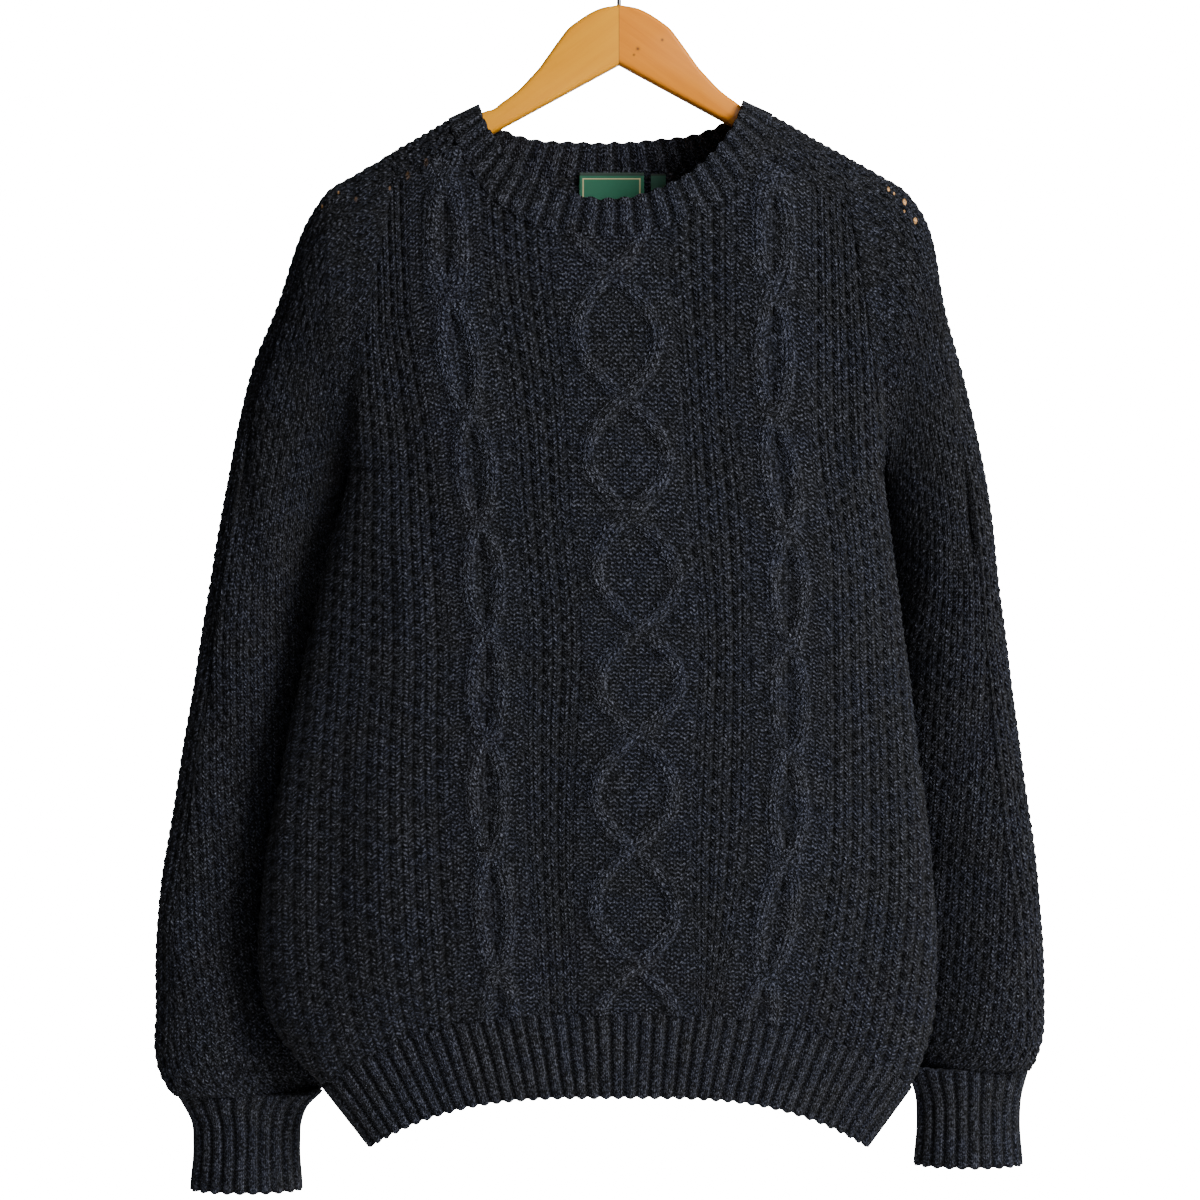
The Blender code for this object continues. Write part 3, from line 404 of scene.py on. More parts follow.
@dataclass(frozen=True)
class Waffle:
    """Open waffle ground: pairs of tall knit wales with a column of holes between each two pairs."""

    cell_width: float = 0.0145
    cell_height: float = 0.0123
    groove: float = 0.0005
    small_groove: float = 0.00035
    hole: float = 0.0018
    bump: float = 0.00055
    rows_per_cell: float = 4.0
    wales_per_cell: float = 2.0
    bumps_per_cell: float = 2.0
    # Widths and heights of these, as shares of a cell
    groove_width: float = 0.15
    small_groove_width: float = 0.10
    hole_width: float = 0.19
    hole_height: float = 0.24
    small_hole_width: float = 0.14
    small_hole_height: float = 0.18
    bump_gap: float = 0.2
    small_hole_share: float = 0.45
    # How far the knitting wanders across and down, and how unevenly it is raised
    wander_across: float = 0.07
    wander_down: float = 0.12
    wander_height: float = 0.20

    def relief(self, u: Array, v: Array) -> Array:
        """Height of the ground at places across and down, counted in cells.

        Args:
            u: Place across.
            v: Place down.

        Returns:
            The height in metres.
        """
        u = u + self.wander_across * uneven(1.7 * u, 2.3 * v, 0.4)
        v = v + self.wander_down * uneven(2.1 * u, 1.3 * v, 2.6)
        across = from_whole(u)
        between = from_whole(u + 0.5)
        down = from_whole(v)
        half_down = from_whole(v + 0.5)
        height = -self.groove * bell(across / self.groove_width)
        height = height - self.small_groove * bell(between / self.small_groove_width)
        height = height - self.hole * bell(across / self.hole_width) * bell(down / self.hole_height)
        small_hole = bell(between / self.small_hole_width) * bell(half_down / self.small_hole_height)
        height = height - self.small_hole_share * self.hole * small_hole
        bumps = np.cos(2.0 * math.pi * self.bumps_per_cell * v)
        height = height + self.bump * bumps * (1.0 - bell(across / self.bump_gap))
        return height * (1.0 + self.wander_height * uneven(0.9 * u, 0.9 * v, 5.2))


WAFFLE = Waffle()


@dataclass(frozen=True)
class Cable:
    """Two cords that part and cross again all the way down."""

    name: str
    spread: float
    half_cord: float
    swell: float
    panel_half: float
    cord_height: float = 0.0022
    column_gap: float = 0.8 * MM
    # Crossings: their length in turns, and how far the upper cord lifts and the lower one sinks
    crossing_length: float = 0.11
    crossing_lift: float = 0.30
    crossing_sink: float = 0.65
    # Section of a cord: how full it is, and the groove along its middle
    fullness: float = 0.75
    groove_depth: float = 0.14
    groove_width: float = 0.16
    # Shade beside a cord: strength, place and width in half cords, and the height that it stays under
    shade: float = 0.50
    shade_place: float = 1.15
    shade_width: float = 0.20
    shade_below: float = 0.35
    most_slant: float = 1.55
    # Soft edge of the opening between the cords, in millimetres
    opening_edge: float = 1.2

    def open_share(self, turns: Array | float) -> Array:
        """How far the cords are apart, with its sign changing at each crossing."""
        wave = np.sin(math.pi * np.asarray(turns))
        return np.sign(wave) * np.abs(wave) ** self.swell

    def column_offsets(self, turns: float) -> tuple[float, float, float, float]:
        """Edges of the two cords, for the mesh's columns.

        Args:
            turns: Phase of the cable.

        Returns:
            Four offsets from the cable's centre.
        """
        spread = max(self.spread * abs(float(self.open_share(turns))), self.half_cord + self.column_gap)
        half = self.half_cord
        return -spread - half, -spread + half, spread - half, spread + half


CHAIN = Cable("chain", spread=0.0276, half_cord=0.0060, swell=0.90, panel_half=0.0410)
LEFT_OVAL = Cable("left", spread=0.0108, half_cord=0.0060, swell=0.55, panel_half=0.0262)
RIGHT_OVAL = Cable("right", spread=0.0108, half_cord=0.0060, swell=0.55, panel_half=0.0262)
CABLES = (LEFT_OVAL, CHAIN, RIGHT_OVAL)


@dataclass(frozen=True)
class Neckline:
    """Loop on the skin, as falls below the shoulder line."""

    centre_x: float
    half_width: float
    front_fall: float
    back_fall: float
    power: float

    def fall(self, face: Face) -> float:
        """Fall of the loop in the middle of a face."""
        return self.front_fall if face is Face.FRONT else self.back_fall


NECK_SEAM = Neckline(-0.0060, 0.1147, 0.1337, 0.0810, 1.53)
NECK_TOP = Neckline(-0.0057, 0.0945, 0.1080, 0.0574, 1.65)
STRAP_FALLS = {
    (Side.LEFT, Face.FRONT): 0.028,
    (Side.LEFT, Face.BACK): 0.040,
    (Side.RIGHT, Face.FRONT): 0.040,
    (Side.RIGHT, Face.BACK): 0.028,
}


@dataclass(frozen=True)
class Chart:
    """Knitting chart of the front and back: where each course lies and what is knitted in it."""

    # Cable crossings from the neck down: height in the middle and at the side, and each cable's centre
    crossings: tuple = (
        (-0.2640, -0.310, -0.1194, -0.0066, 0.1069),
        (-0.3522, -0.400, -0.1048, 0.0024, 0.1069),
        (-0.4325, -0.478, -0.0979, 0.0066, 0.1159),
        (-0.5114, -0.556, -0.0924, 0.0142, 0.1166),
        (-0.5854, -0.630, -0.0924, 0.0114, 0.1166),
        (-0.6636, -0.708, -0.0896, 0.0086, 0.1138),
        (-0.7439, -0.790, -0.0848, 0.0114, 0.1007),
    )
    top_centres: tuple = (-0.1240, -0.0090, 0.1080)
    hem_centres: tuple = (-0.0830, 0.0120, 0.0950)
    repeat: float = 0.080
    first_oval_drop: float = 0.012
    sag_power: float = 2.4
    cells_per_repeat: float = 6.5
    group_cells: float = 3.0
    seam_ease: float = -0.0009
    stitch_width: float = 0.00445
    oval_cell: float = 0.0130
    # How far the left side's cells run past the oval's edge, and an oval's own cells from its middle
    flank_reach: float = 4 * MM
    oval_reach: float = 11 * MM
    # Width of a side with cells of the usual width, the least width reckoned with, and the cells' growth
    usual_flank: float = 0.095
    least_flank: float = 0.03
    flank_growth: float = 0.45
    # Soft edges of the waffle, in metres and as a share of the width of a group
    edge_soft: float = 1.6 * MM
    group_soft: float = 0.03
    least_group: float = 1.0 * MM
    # Share of waffle inside an oval, and the shares of its height between which a cord takes over
    inside_share: float = 0.5
    cord_takes_over: tuple = (0.15, 0.5)
    least_fall: float = 1e-6
    # First guess of the strap's corner, and how often it is made better
    corner_guess_z: float = -0.208
    corner_rounds: int = 6
    # Columns of the mesh between the side edge, the cords' edges and the other side edge
    columns: tuple = (47, 5, 8, 5, 30, 6, 18, 6, 30, 5, 8, 5, 47)
    rows_at_top: int = 40
    rows_per_repeat: int = 42
    rows_at_hem: int = 24

    def rows(self) -> Array:
        """Courses of the mesh's rows: -1 is the top edge and 7 the hem seam.

        Returns:
            One course for each row.
        """
        last = len(self.crossings) - 1
        return np.concatenate((
            np.linspace(-1.0, 0.0, self.rows_at_top + 1)[:-1],
            np.linspace(0.0, last, last * self.rows_per_repeat + 1),
            np.linspace(last, last + 1.0, self.rows_at_hem + 1)[1:],
        ))

    def top_z(self, x: Array, face: Face) -> Array:
        """Upper edge of a panel: the strap seams at the sides and the neck seam between them.

        Args:
            x: Place along X.
            face: Front or back.

        Returns:
            The height at each place.
        """
        left = STRAP_FALLS[(Side.LEFT, face)]
        right = STRAP_FALLS[(Side.RIGHT, face)]
        ridge = GARMENT.ridge_z(x)
        strap = ridge - np.where(x < GARMENT.centre_x, left, right) - self.seam_ease
        reach = np.clip((x - NECK_SEAM.centre_x) / (NECK_SEAM.half_width + self.seam_ease), -1.0, 1.0)
        neck = ridge - NECK_SEAM.fall(face) * np.sqrt(1.0 - reach**2) ** NECK_SEAM.power - self.seam_ease
        return np.minimum(strap, neck)

    def corner_z(self, side: Side, face: Face) -> float:
        """Height at which the strap's seam meets the armhole.

        Args:
            side: Left or right.
            face: Front or back.

        Returns:
            The height.
        """
        z = self.corner_guess_z
        for _ in range(self.corner_rounds):
            z = float(GARMENT.ridge_z(GARMENT.edge_x(z, side))) - STRAP_FALLS[(side, face)]
        return z

    def centres(self, course: float) -> Array:
        """Centres of the three cables at a course.

        Args:
            course: Course, -1 at the top edge and 7 at the hem seam.

        Returns:
            X of each centre.
        """
        table = np.array(self.crossings)[:, 2:]
        last = len(table) - 1
        if course < 0:
            return mix(table[0], np.array(self.top_centres), -course)
        if course > last:
            return mix(table[last], np.array(self.hem_centres), course - last)
        return smooth_curve(np.arange(last + 1), table, course)

    def turns(self, course: float, face: Face) -> Array:
        """Phase of the three cables at a course: whole numbers are crossings.

        Args:
            course: Course, -1 at the top edge and 7 at the hem seam.
            face: Front or back.

        Returns:
            One phase for each cable.
        """
        last = len(self.crossings) - 1
        middle_z = self.crossings[0][0]
        if course < 0:
            starts = middle_z - np.array((self.first_oval_drop, 0.0, self.first_oval_drop))
            tops = self.top_z(np.array(self.top_centres), face)
            return course * (tops - starts) / self.repeat
        if course > last:
            fall = (self.crossings[last][0] - GARMENT.hem_seam_middle_z) * (course - last)
            return np.full(3, last + fall / self.repeat)
        return np.full(3, course)

    def crossing_z(self, index: int, place: Array) -> Array:
        """Height of a row of crossings at places across."""
        middle_z, side_z = self.crossings[index][:2]
        return mix(middle_z, side_z, np.minimum(np.abs(place), 1.0) ** self.sag_power)

    def course_z(self, course: float, x: Array, face: Face) -> Array:
        """Height of a course at places across the panel.

        Args:
            course: Course, -1 at the top edge and 7 at the hem seam.
            x: Place along X.
            face: Front or back.

        Returns:
            The height at each place.
        """
        last = len(self.crossings) - 1
        if course < 0:
            place = GARMENT.across(x, self.crossings[0][0])
            return mix(self.crossing_z(0, place), self.top_z(x, face), -course)
        if course > last:
            place = GARMENT.across(x, self.crossings[last][1])
            return mix(self.crossing_z(last, place), GARMENT.hem_seam_z(x) + self.seam_ease, course - last)
        low = min(int(course), last - 1)
        side_z = mix(self.crossings[low][1], self.crossings[low + 1][1], course - low)
        place = GARMENT.across(x, side_z)
        return mix(self.crossing_z(low, place), self.crossing_z(low + 1, place), course - low)

    def side_z(self, course: float, side: Side, face: Face) -> float:
        """Height at which a course meets the side edge.

        Args:
            course: Course, -1 at the top edge and 7 at the hem seam.
            side: Left or right.
            face: Front or back.

        Returns:
            The height.
        """
        last = len(self.crossings) - 1
        if course < 0:
            return mix(self.crossings[0][1], self.corner_z(side, face) - self.seam_ease, -course)
        if course > last:
            return mix(self.crossings[last][1], GARMENT.hem_seam_side_z + self.seam_ease, course - last)
        low = min(int(course), last - 1)
        return mix(self.crossings[low][1], self.crossings[low + 1][1], course - low)

    def lay_out(self, face: Face) -> tuple[Array, Array]:
        """X and Z of every point of the panel's grid.

        Args:
            face: Front or back.

        Returns:
            The X and the Z, in rows.
        """
        stations = np.concatenate(([0], np.cumsum(self.columns)))
        wanted = np.arange(stations[-1] + 1)
        xs = []
        zs = []
        for course in self.rows():
            anchors = [float(GARMENT.edge_x(self.side_z(course, Side.LEFT, face), Side.LEFT))]
            for cable, centre, turns in zip(CABLES, self.centres(course), self.turns(course, face)):
                anchors += [centre + offset for offset in cable.column_offsets(turns)]
            anchors.append(float(GARMENT.edge_x(self.side_z(course, Side.RIGHT, face), Side.RIGHT)))
            x = np.interp(wanted, stations, anchors)
            z = self.course_z(course, x, face)
            z[0] = self.side_z(course, Side.LEFT, face)
            z[-1] = self.side_z(course, Side.RIGHT, face)
            xs.append(x)
            zs.append(z)
        return np.array(xs), np.array(zs)

    def cells_down(self, x: Array, z: Array) -> Array:
        """Waffle cells counted down from the first row of crossings.

        Args:
            x: Place along X.
            z: Height.

        Returns:
            The count at each point.
        """
        courses = self.rows()[:, None]
        last = len(self.crossings) - 1
        first_z = self.crossing_z(0, GARMENT.across(x, self.crossings[0][0]))
        last_z = self.crossing_z(last, GARMENT.across(x, self.crossings[last][1]))
        above = -(z - first_z) / WAFFLE.cell_height
        below = self.cells_per_repeat * last + (last_z - z) / WAFFLE.cell_height
        inside = self.cells_per_repeat * courses * np.ones_like(x)
        return np.where(courses < 0, above, np.where(courses > last, below, inside))

    def knit(self, x: Array, z: Array, face: Face) -> Knit:
        """Knit the panel: its cables, waffle and plain ground.

        Args:
            x: Place along X.
            z: Height.
            face: Front or back.

        Returns:
            What is knitted at each point.
        """
        knit = Knit.plain(x.shape)
        courses = self.rows()
        centres = np.array([self.centres(course) for course in courses])
        turns = np.array([self.turns(course, face) for course in courses])
        down = self.cells_down(x, z)
        left, middle, right = (x - centres[:, [index]] for index in range(3))

        left_edge = -LEFT_OVAL.panel_half
        right_edge = RIGHT_OVAL.panel_half
        flank_left = self.flank_cells(left_edge - left, x[:, [0]] - centres[:, [0]], left_edge)
        flank_right = self.flank_cells(right - right_edge, x[:, [-1]] - centres[:, [2]], right_edge)
        group_left = self.group_share(left, middle, LEFT_OVAL.panel_half, -CHAIN.panel_half)
        group_right = self.group_share(-right, -middle, RIGHT_OVAL.panel_half, -CHAIN.panel_half)

        cells = np.select(
            [left < left_edge + self.flank_reach, np.abs(left) < self.oval_reach, middle < 0.0,
             right < -self.oval_reach, np.abs(right) < self.oval_reach],
            [flank_left, left / self.oval_cell, self.group_cells * group_left,
             self.group_cells * group_right, right / self.oval_cell],
            flank_right,
        )
        soft = self.edge_soft
        share = step_up(left_edge - left, -soft, soft) + step_up(right - right_edge, -soft, soft)
        soft = self.group_soft
        for along in (group_left, group_right):
            share = share + step_up(along, -soft, soft) * (1.0 - step_up(along, 1.0 - soft, 1.0 + soft))
        knit.purl[..., 0] = middle / self.stitch_width
        knit.purl[..., 1] = down * WAFFLE.rows_per_cell

        cord_height = np.zeros_like(x)
        for index, (cable, offset) in enumerate(zip(CABLES, (left, middle, right))):
            phase = turns[:, [index]] + 0.0 * x
            height, across, shade, inside = self.cords(cable, offset, phase, centres[:, index], z)
            wins = height > cord_height
            cord_height = np.where(wins, height, cord_height)
            knit.knit[..., 0] = np.where(wins, across, knit.knit[..., 0])
            knit.purl[..., 2] = np.maximum(knit.purl[..., 2], shade)
            if cable is not CHAIN:
                share = share + self.inside_share * inside
        low, high = np.array(self.cord_takes_over) * CHAIN.cord_height
        on_cord = step_up(cord_height, low, high)
        share = np.clip(share, 0.0, 1.0) * (1.0 - on_cord)
        knit.knit[..., 1] = down * WAFFLE.rows_per_cell
        knit.knit[..., 2] = on_cord
        knit.waffle[..., 0] = cells
        knit.waffle[..., 1] = down
        knit.waffle[..., 2] = share
        knit.height = cord_height + share * WAFFLE.relief(cells, down)
        return knit

    def flank_cells(self, distance: Array, edge_offset: Array, panel_edge: float) -> Array:
        """Cells counted out from the cable panel, a little wider where the body is wide.

        Args:
            distance: Distance out from the cable panel's edge.
            edge_offset: Side edge of the body, from the cable's centre.
            panel_edge: Edge of the cable panel, from the same centre.

        Returns:
            The count at each point.
        """
        width = np.maximum(np.abs(edge_offset) - abs(panel_edge), self.least_flank)
        cell = WAFFLE.cell_width * (width / self.usual_flank) ** self.flank_growth
        return distance / cell + 0.5

    def group_share(self, from_oval: Array, from_chain: Array, oval_half: float, chain_edge: float) -> Array:
        """Share of the way across the waffle group between an oval cable and the chain.

        Args:
            from_oval: Distance from the oval's centre.
            from_chain: Distance from the chain's centre.
            oval_half: Half the oval's panel.
            chain_edge: Edge of the chain's panel.

        Returns:
            The share at each point.
        """
        gone = from_oval - oval_half
        left = chain_edge - from_chain
        return gone / np.maximum(gone + left, self.least_group)

    def cords(self, cable: Cable, offset: Array, phase: Array, centres: Array, z: Array) -> tuple:
        """Raise a cable's two cords.

        Args:
            cable: The cable.
            offset: Distance of each point from the cable's centre.
            phase: Turns of the cable, with a crossing at each whole number.
            centres: The cable's centre in each row.
            z: Height of each point.

        Returns:
            Height, place across the cord, shade beside it and share inside the opening.
        """
        spread = cable.spread * cable.open_share(phase)
        column = offset.shape[1] // 2
        fall = np.gradient(z[:, column])
        fall = np.where(np.abs(fall) < self.least_fall, self.least_fall, fall)
        lean = np.gradient(spread[:, column] + centres) / fall
        slant = np.minimum(np.sqrt(1.0 + lean**2), cable.most_slant)[:, None]
        nearest = from_whole(phase)
        crossing = np.round(phase)
        height = np.zeros_like(offset)
        place = np.zeros_like(offset)
        shade = np.zeros_like(offset)
        for hand in (1.0, -1.0):
            across = (offset - hand * spread) / (cable.half_cord * slant)
            on_top = (crossing % 2 == 1) == (hand > 0)
            near = bell(nearest / cable.crossing_length)
            lift = np.where(on_top, 1.0 + cable.crossing_lift * near, 1.0 - cable.crossing_sink * near)
            round_top = np.clip(1.0 - across**2, 0.0, 1.0) ** cable.fullness
            round_top = round_top - cable.groove_depth * bell(across / cable.groove_width)
            cord = cable.cord_height * lift * np.clip(round_top, 0.0, 1.0)
            wins = cord > height
            height = np.where(wins, cord, height)
            place = np.where(wins, across, place)
            beside = bell((np.abs(across) - cable.shade_place) / cable.shade_width)
            shade = np.maximum(shade, cable.shade * beside)
        shade = shade * (height < cable.shade_below * cable.cord_height)
        opening = (np.abs(spread) - cable.half_cord * slant - np.abs(offset)) / MM
        return height, place, shade, step_up(opening, 0.0, cable.opening_edge)


CHART = Chart()


# Meshes of cloth


@dataclass
class Cloth:
    """Grid of knitted cloth, before it gets its thickness."""

    points: Array
    normals: Array
    knit: Knit
    inside: Knit | None = None

    def outer(self) -> Array:
        """Points of the outside, raised."""
        return self.points + self.normals * self.knit.height[..., None]

    def inner(self, wall: float, step: int, raised: float) -> Array:
        """Points of the inside, with every so many rows and columns."""
        depth = wall - raised * self.knit.height
        return (self.points - self.normals * depth[..., None])[::step, ::step]

    def thinned(self, step: int) -> Knit:
        """Chart of the inside."""
        knit = self.inside or self.knit
        return Knit(*(part[::step, ::step] for part in (knit.height, knit.waffle, knit.knit, knit.purl)))


class Weaver:
    """Makes one knitted piece: lays grids, joins them and closes the wall round its rims."""

    LAYERS = ("waffle", "knit", "purl")
    WELD = 0.02 * MM

    def __init__(self, name: str) -> None:
        """Start an empty piece.

        Args:
            name: Name of the piece.
        """
        self.name = name
        self.mesh = bmesh.new()
        self.layers = [self.mesh.verts.layers.float_vector.new(layer) for layer in self.LAYERS]

    def lay(self, points: Array, knit: Knit) -> list:
        """Lay a grid over rows of points, and give each point its place in the chart.

        Args:
            points: Rows of points.
            knit: What is knitted at each.

        Returns:
            The new vertices.
        """
        rows, columns = points.shape[:2]
        grid = bmesh.ops.create_grid(self.mesh, x_segments=columns - 1, y_segments=rows - 1, size=1.0)
        flat = points.reshape(-1, 3).tolist()
        charts = [part.reshape(-1, 3).tolist() for part in (knit.waffle, knit.knit, knit.purl)]
        waffle, plain, purl = self.layers
        for vertex, point, in_waffle, in_knit, in_purl in zip(grid["verts"], flat, *charts):
            vertex.co = point
            vertex[waffle] = in_waffle
            vertex[plain] = in_knit
            vertex[purl] = in_purl
        return grid["verts"]

    def lay_wall(self, cloths: list[Cloth], wall: float, step: int = 1, raised: float = 0.0) -> None:
        """Lay the outside and the inside of some cloths that meet, and join them at their rims.

        Args:
            cloths: Grids that share their seams.
            wall: Thickness.
            step: Every so many rows and columns that the inside has.
            raised: Share of the relief that the inside follows.
        """
        outer = [vertex for cloth in cloths for vertex in self.lay(cloth.outer(), cloth.knit)]
        inner = [
            vertex for cloth in cloths
            for vertex in self.lay(cloth.inner(wall, step, raised), cloth.thinned(step))
        ]
        for layer in (outer, inner):
            bmesh.ops.remove_doubles(self.mesh, verts=layer, dist=self.WELD)
        rims = self.rims()
        while rims:
            first = rims.pop(0)
            partner = min(rims, key=lambda rim: self.apart(first, rim))
            rims.remove(partner)
            bmesh.ops.bridge_loops(self.mesh, edges=first + partner)

    def rims(self) -> list[list]:
        """Open loops of edges of the piece.

        Returns:
            The edges of each loop.
        """
        left = {edge for edge in self.mesh.edges if edge.is_boundary}
        loops = []
        while left:
            edge = left.pop()
            loop = [edge]
            waiting = list(edge.verts)
            while waiting:
                for other in waiting.pop().link_edges:
                    if other in left:
                        left.remove(other)
                        loop.append(other)
                        waiting.extend(other.verts)
            loops.append(loop)
        return loops

    @staticmethod
    def apart(first: list, second: list) -> float:
        """Distance between the middles of two loops."""
        middles = [np.mean([edge.verts[0].co for edge in loop], axis=0) for loop in (first, second)]
        return float(np.linalg.norm(middles[0] - middles[1]))

    def finish(self, material: bpy.types.Material) -> bpy.types.Object:
        """Turn the piece into an object with its material."""
        bmesh.ops.recalc_face_normals(self.mesh, faces=self.mesh.faces)
        return piece_from(self.mesh, self.name, material)


def in_scene(name: str, data: bpy.types.ID) -> bpy.types.Object:
    """Put a mesh, curve, light or camera into the scene, at the origin.

    Args:
        name: Name of the object.
        data: What it shows.

    Returns:
        The object.
    """
    piece = bpy.data.objects.new(name, data)
    bpy.context.scene.collection.objects.link(piece)
    return piece


def piece_from(mesh: bmesh.types.BMesh, name: str, material: bpy.types.Material) -> bpy.types.Object:
    """Turn a finished mesh into a smooth piece with its material.

    Args:
        mesh: The mesh, which is freed.
        name: Name of the piece.
        material: Its material.

    Returns:
        The piece, at the origin.
    """
    data = bpy.data.meshes.new(name)
    mesh.to_mesh(data)
    mesh.free()
    data.shade_smooth()
    data.materials.append(material)
    return in_scene(name, data)


def hand_over(piece: bpy.types.Object, node: str) -> None:
    """Let a piece stand for a node of the frame.

    Args:
        piece: The piece.
        node: The node of the frame.
    """
    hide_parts(node)
    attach(piece, "root")
    log.info("%s: %d faces", piece.name, len(piece.data.polygons) if piece.type == "MESH" else 0)


# Body


@dataclass
class Body:
    """Front and back panels."""

    wall: float = 0.0032
    inside_step: int = 4
    cut_width: float = 0.50
    cut_length: float = 0.63

    def build(self, wool: bpy.types.Material) -> None:
        """Make both panels.

        Args:
            wool: The wool's material.
        """
        for face in Face:
            name = "front_panel" if face is Face.FRONT else "back_panel"
            x, z = CHART.lay_out(face)
            points = GARMENT.skin(x, z, face)
            normals = grid_normals(points, closed=False)
            normals = normals * np.sign(normals[normals.shape[0] // 2, normals.shape[1] // 2, 1] * face.value)
            weaver = Weaver(name + "_knit")
            cloth = Cloth(points, normals, CHART.knit(x, z, face))
            weaver.lay_wall([cloth], self.wall, self.inside_step)
            piece = weaver.finish(wool)
            hand_over(piece, name)


# Ribbing


class Band:
    """Ribbed band: a grid round or across, and down from its seam to its free edge."""

    closed = False

    def points(self, across: Array, down: Array) -> Array:
        """Points at shares across and down."""
        raise NotImplementedError


@dataclass
class HemBand(Band):
    """Hem rib of the front or the back."""

    face: Face
    bottom_middle_z: float = -0.8373
    bottom_side_z: float = -0.8767
    bottom_left: float = -0.1765
    bottom_right: float = 0.1755
    front_depth: float = 0.032
    back_depth: float = 0.037

    def points(self, across: Array, down: Array) -> Array:
        """Points at shares across and down.

        Args:
            across: Share of the way across or round.
            down: Share of the way down.

        Returns:
            The points.
        """
        place = 2.0 * across - 1.0
        seam_x = GARMENT.x_at(place, GARMENT.hem_seam_side_z)
        seam = GARMENT.skin(seam_x, GARMENT.hem_seam_z(seam_x), self.face)
        x = mix(self.bottom_left, self.bottom_right, across)
        z = mix(self.bottom_middle_z, self.bottom_side_z, np.abs(place) ** GARMENT.hem_curve_power)
        power = GARMENT.section_power
        round_share = (1.0 - np.minimum(np.abs(place), 1.0) ** power) ** (1.0 / power)
        depth = self.front_depth if self.face is Face.FRONT else self.back_depth
        y = GARMENT.side_seam_y[0] + self.face.value * depth * round_share
        return mix(seam, np.stack((x, y, z), axis=-1), down[..., None])


@dataclass
class NeckBand(Band):
    """Neckband: round from the right side, and down from its upper edge to its seam."""

    closed = True

    def loop(self, angle: Array, line: Neckline) -> Array:
        """Points of the seam or the upper edge.

        Args:
            angle: Angle round from the right side.
            line: Seam or upper edge.

        Returns:
            The points.
        """
        x = line.centre_x + line.half_width * np.cos(angle)
        sine = np.sin(angle)
        fall = np.where(sine < 0, line.front_fall, line.back_fall)
        z = GARMENT.ridge_z(x) - fall * np.abs(sine) ** line.power
        front = GARMENT.skin(x, z, Face.FRONT)
        back = GARMENT.skin(x, z, Face.BACK)
        return np.where((sine < 0)[..., None], front, back)

    def points(self, across: Array, down: Array) -> Array:
        """Points at shares round and down."""
        angle = 2.0 * math.pi * across
        return mix(self.loop(angle, NECK_TOP), self.loop(angle, NECK_SEAM), down[..., None])


@dataclass
class CuffBand(Band):
    """Cuff: round from its outer end, and down from the sleeve."""

    # Fall below the seam, outer X, inner X and half the depth
    rows: tuple
    seam_z: float
    centre_y: float = 0.0275
    closed = True

    def points(self, across: Array, down: Array) -> Array:
        """Points at shares round and down.

        Args:
            across: Share of the way across or round.
            down: Share of the way down.

        Returns:
            The points.
        """
        table = np.array(self.rows)
        fall = table[-1, 0] * down
        outer, inner, depth = (smooth_curve(table[:, 0], table[:, column], fall) for column in (1, 2, 3))
        angle = 2.0 * math.pi * across
        x = (outer + inner) / 2 + (outer - inner) / 2 * np.cos(angle)
        y = self.centre_y - depth * np.sin(angle)
        return np.stack((x, y, self.seam_z - fall), axis=-1)


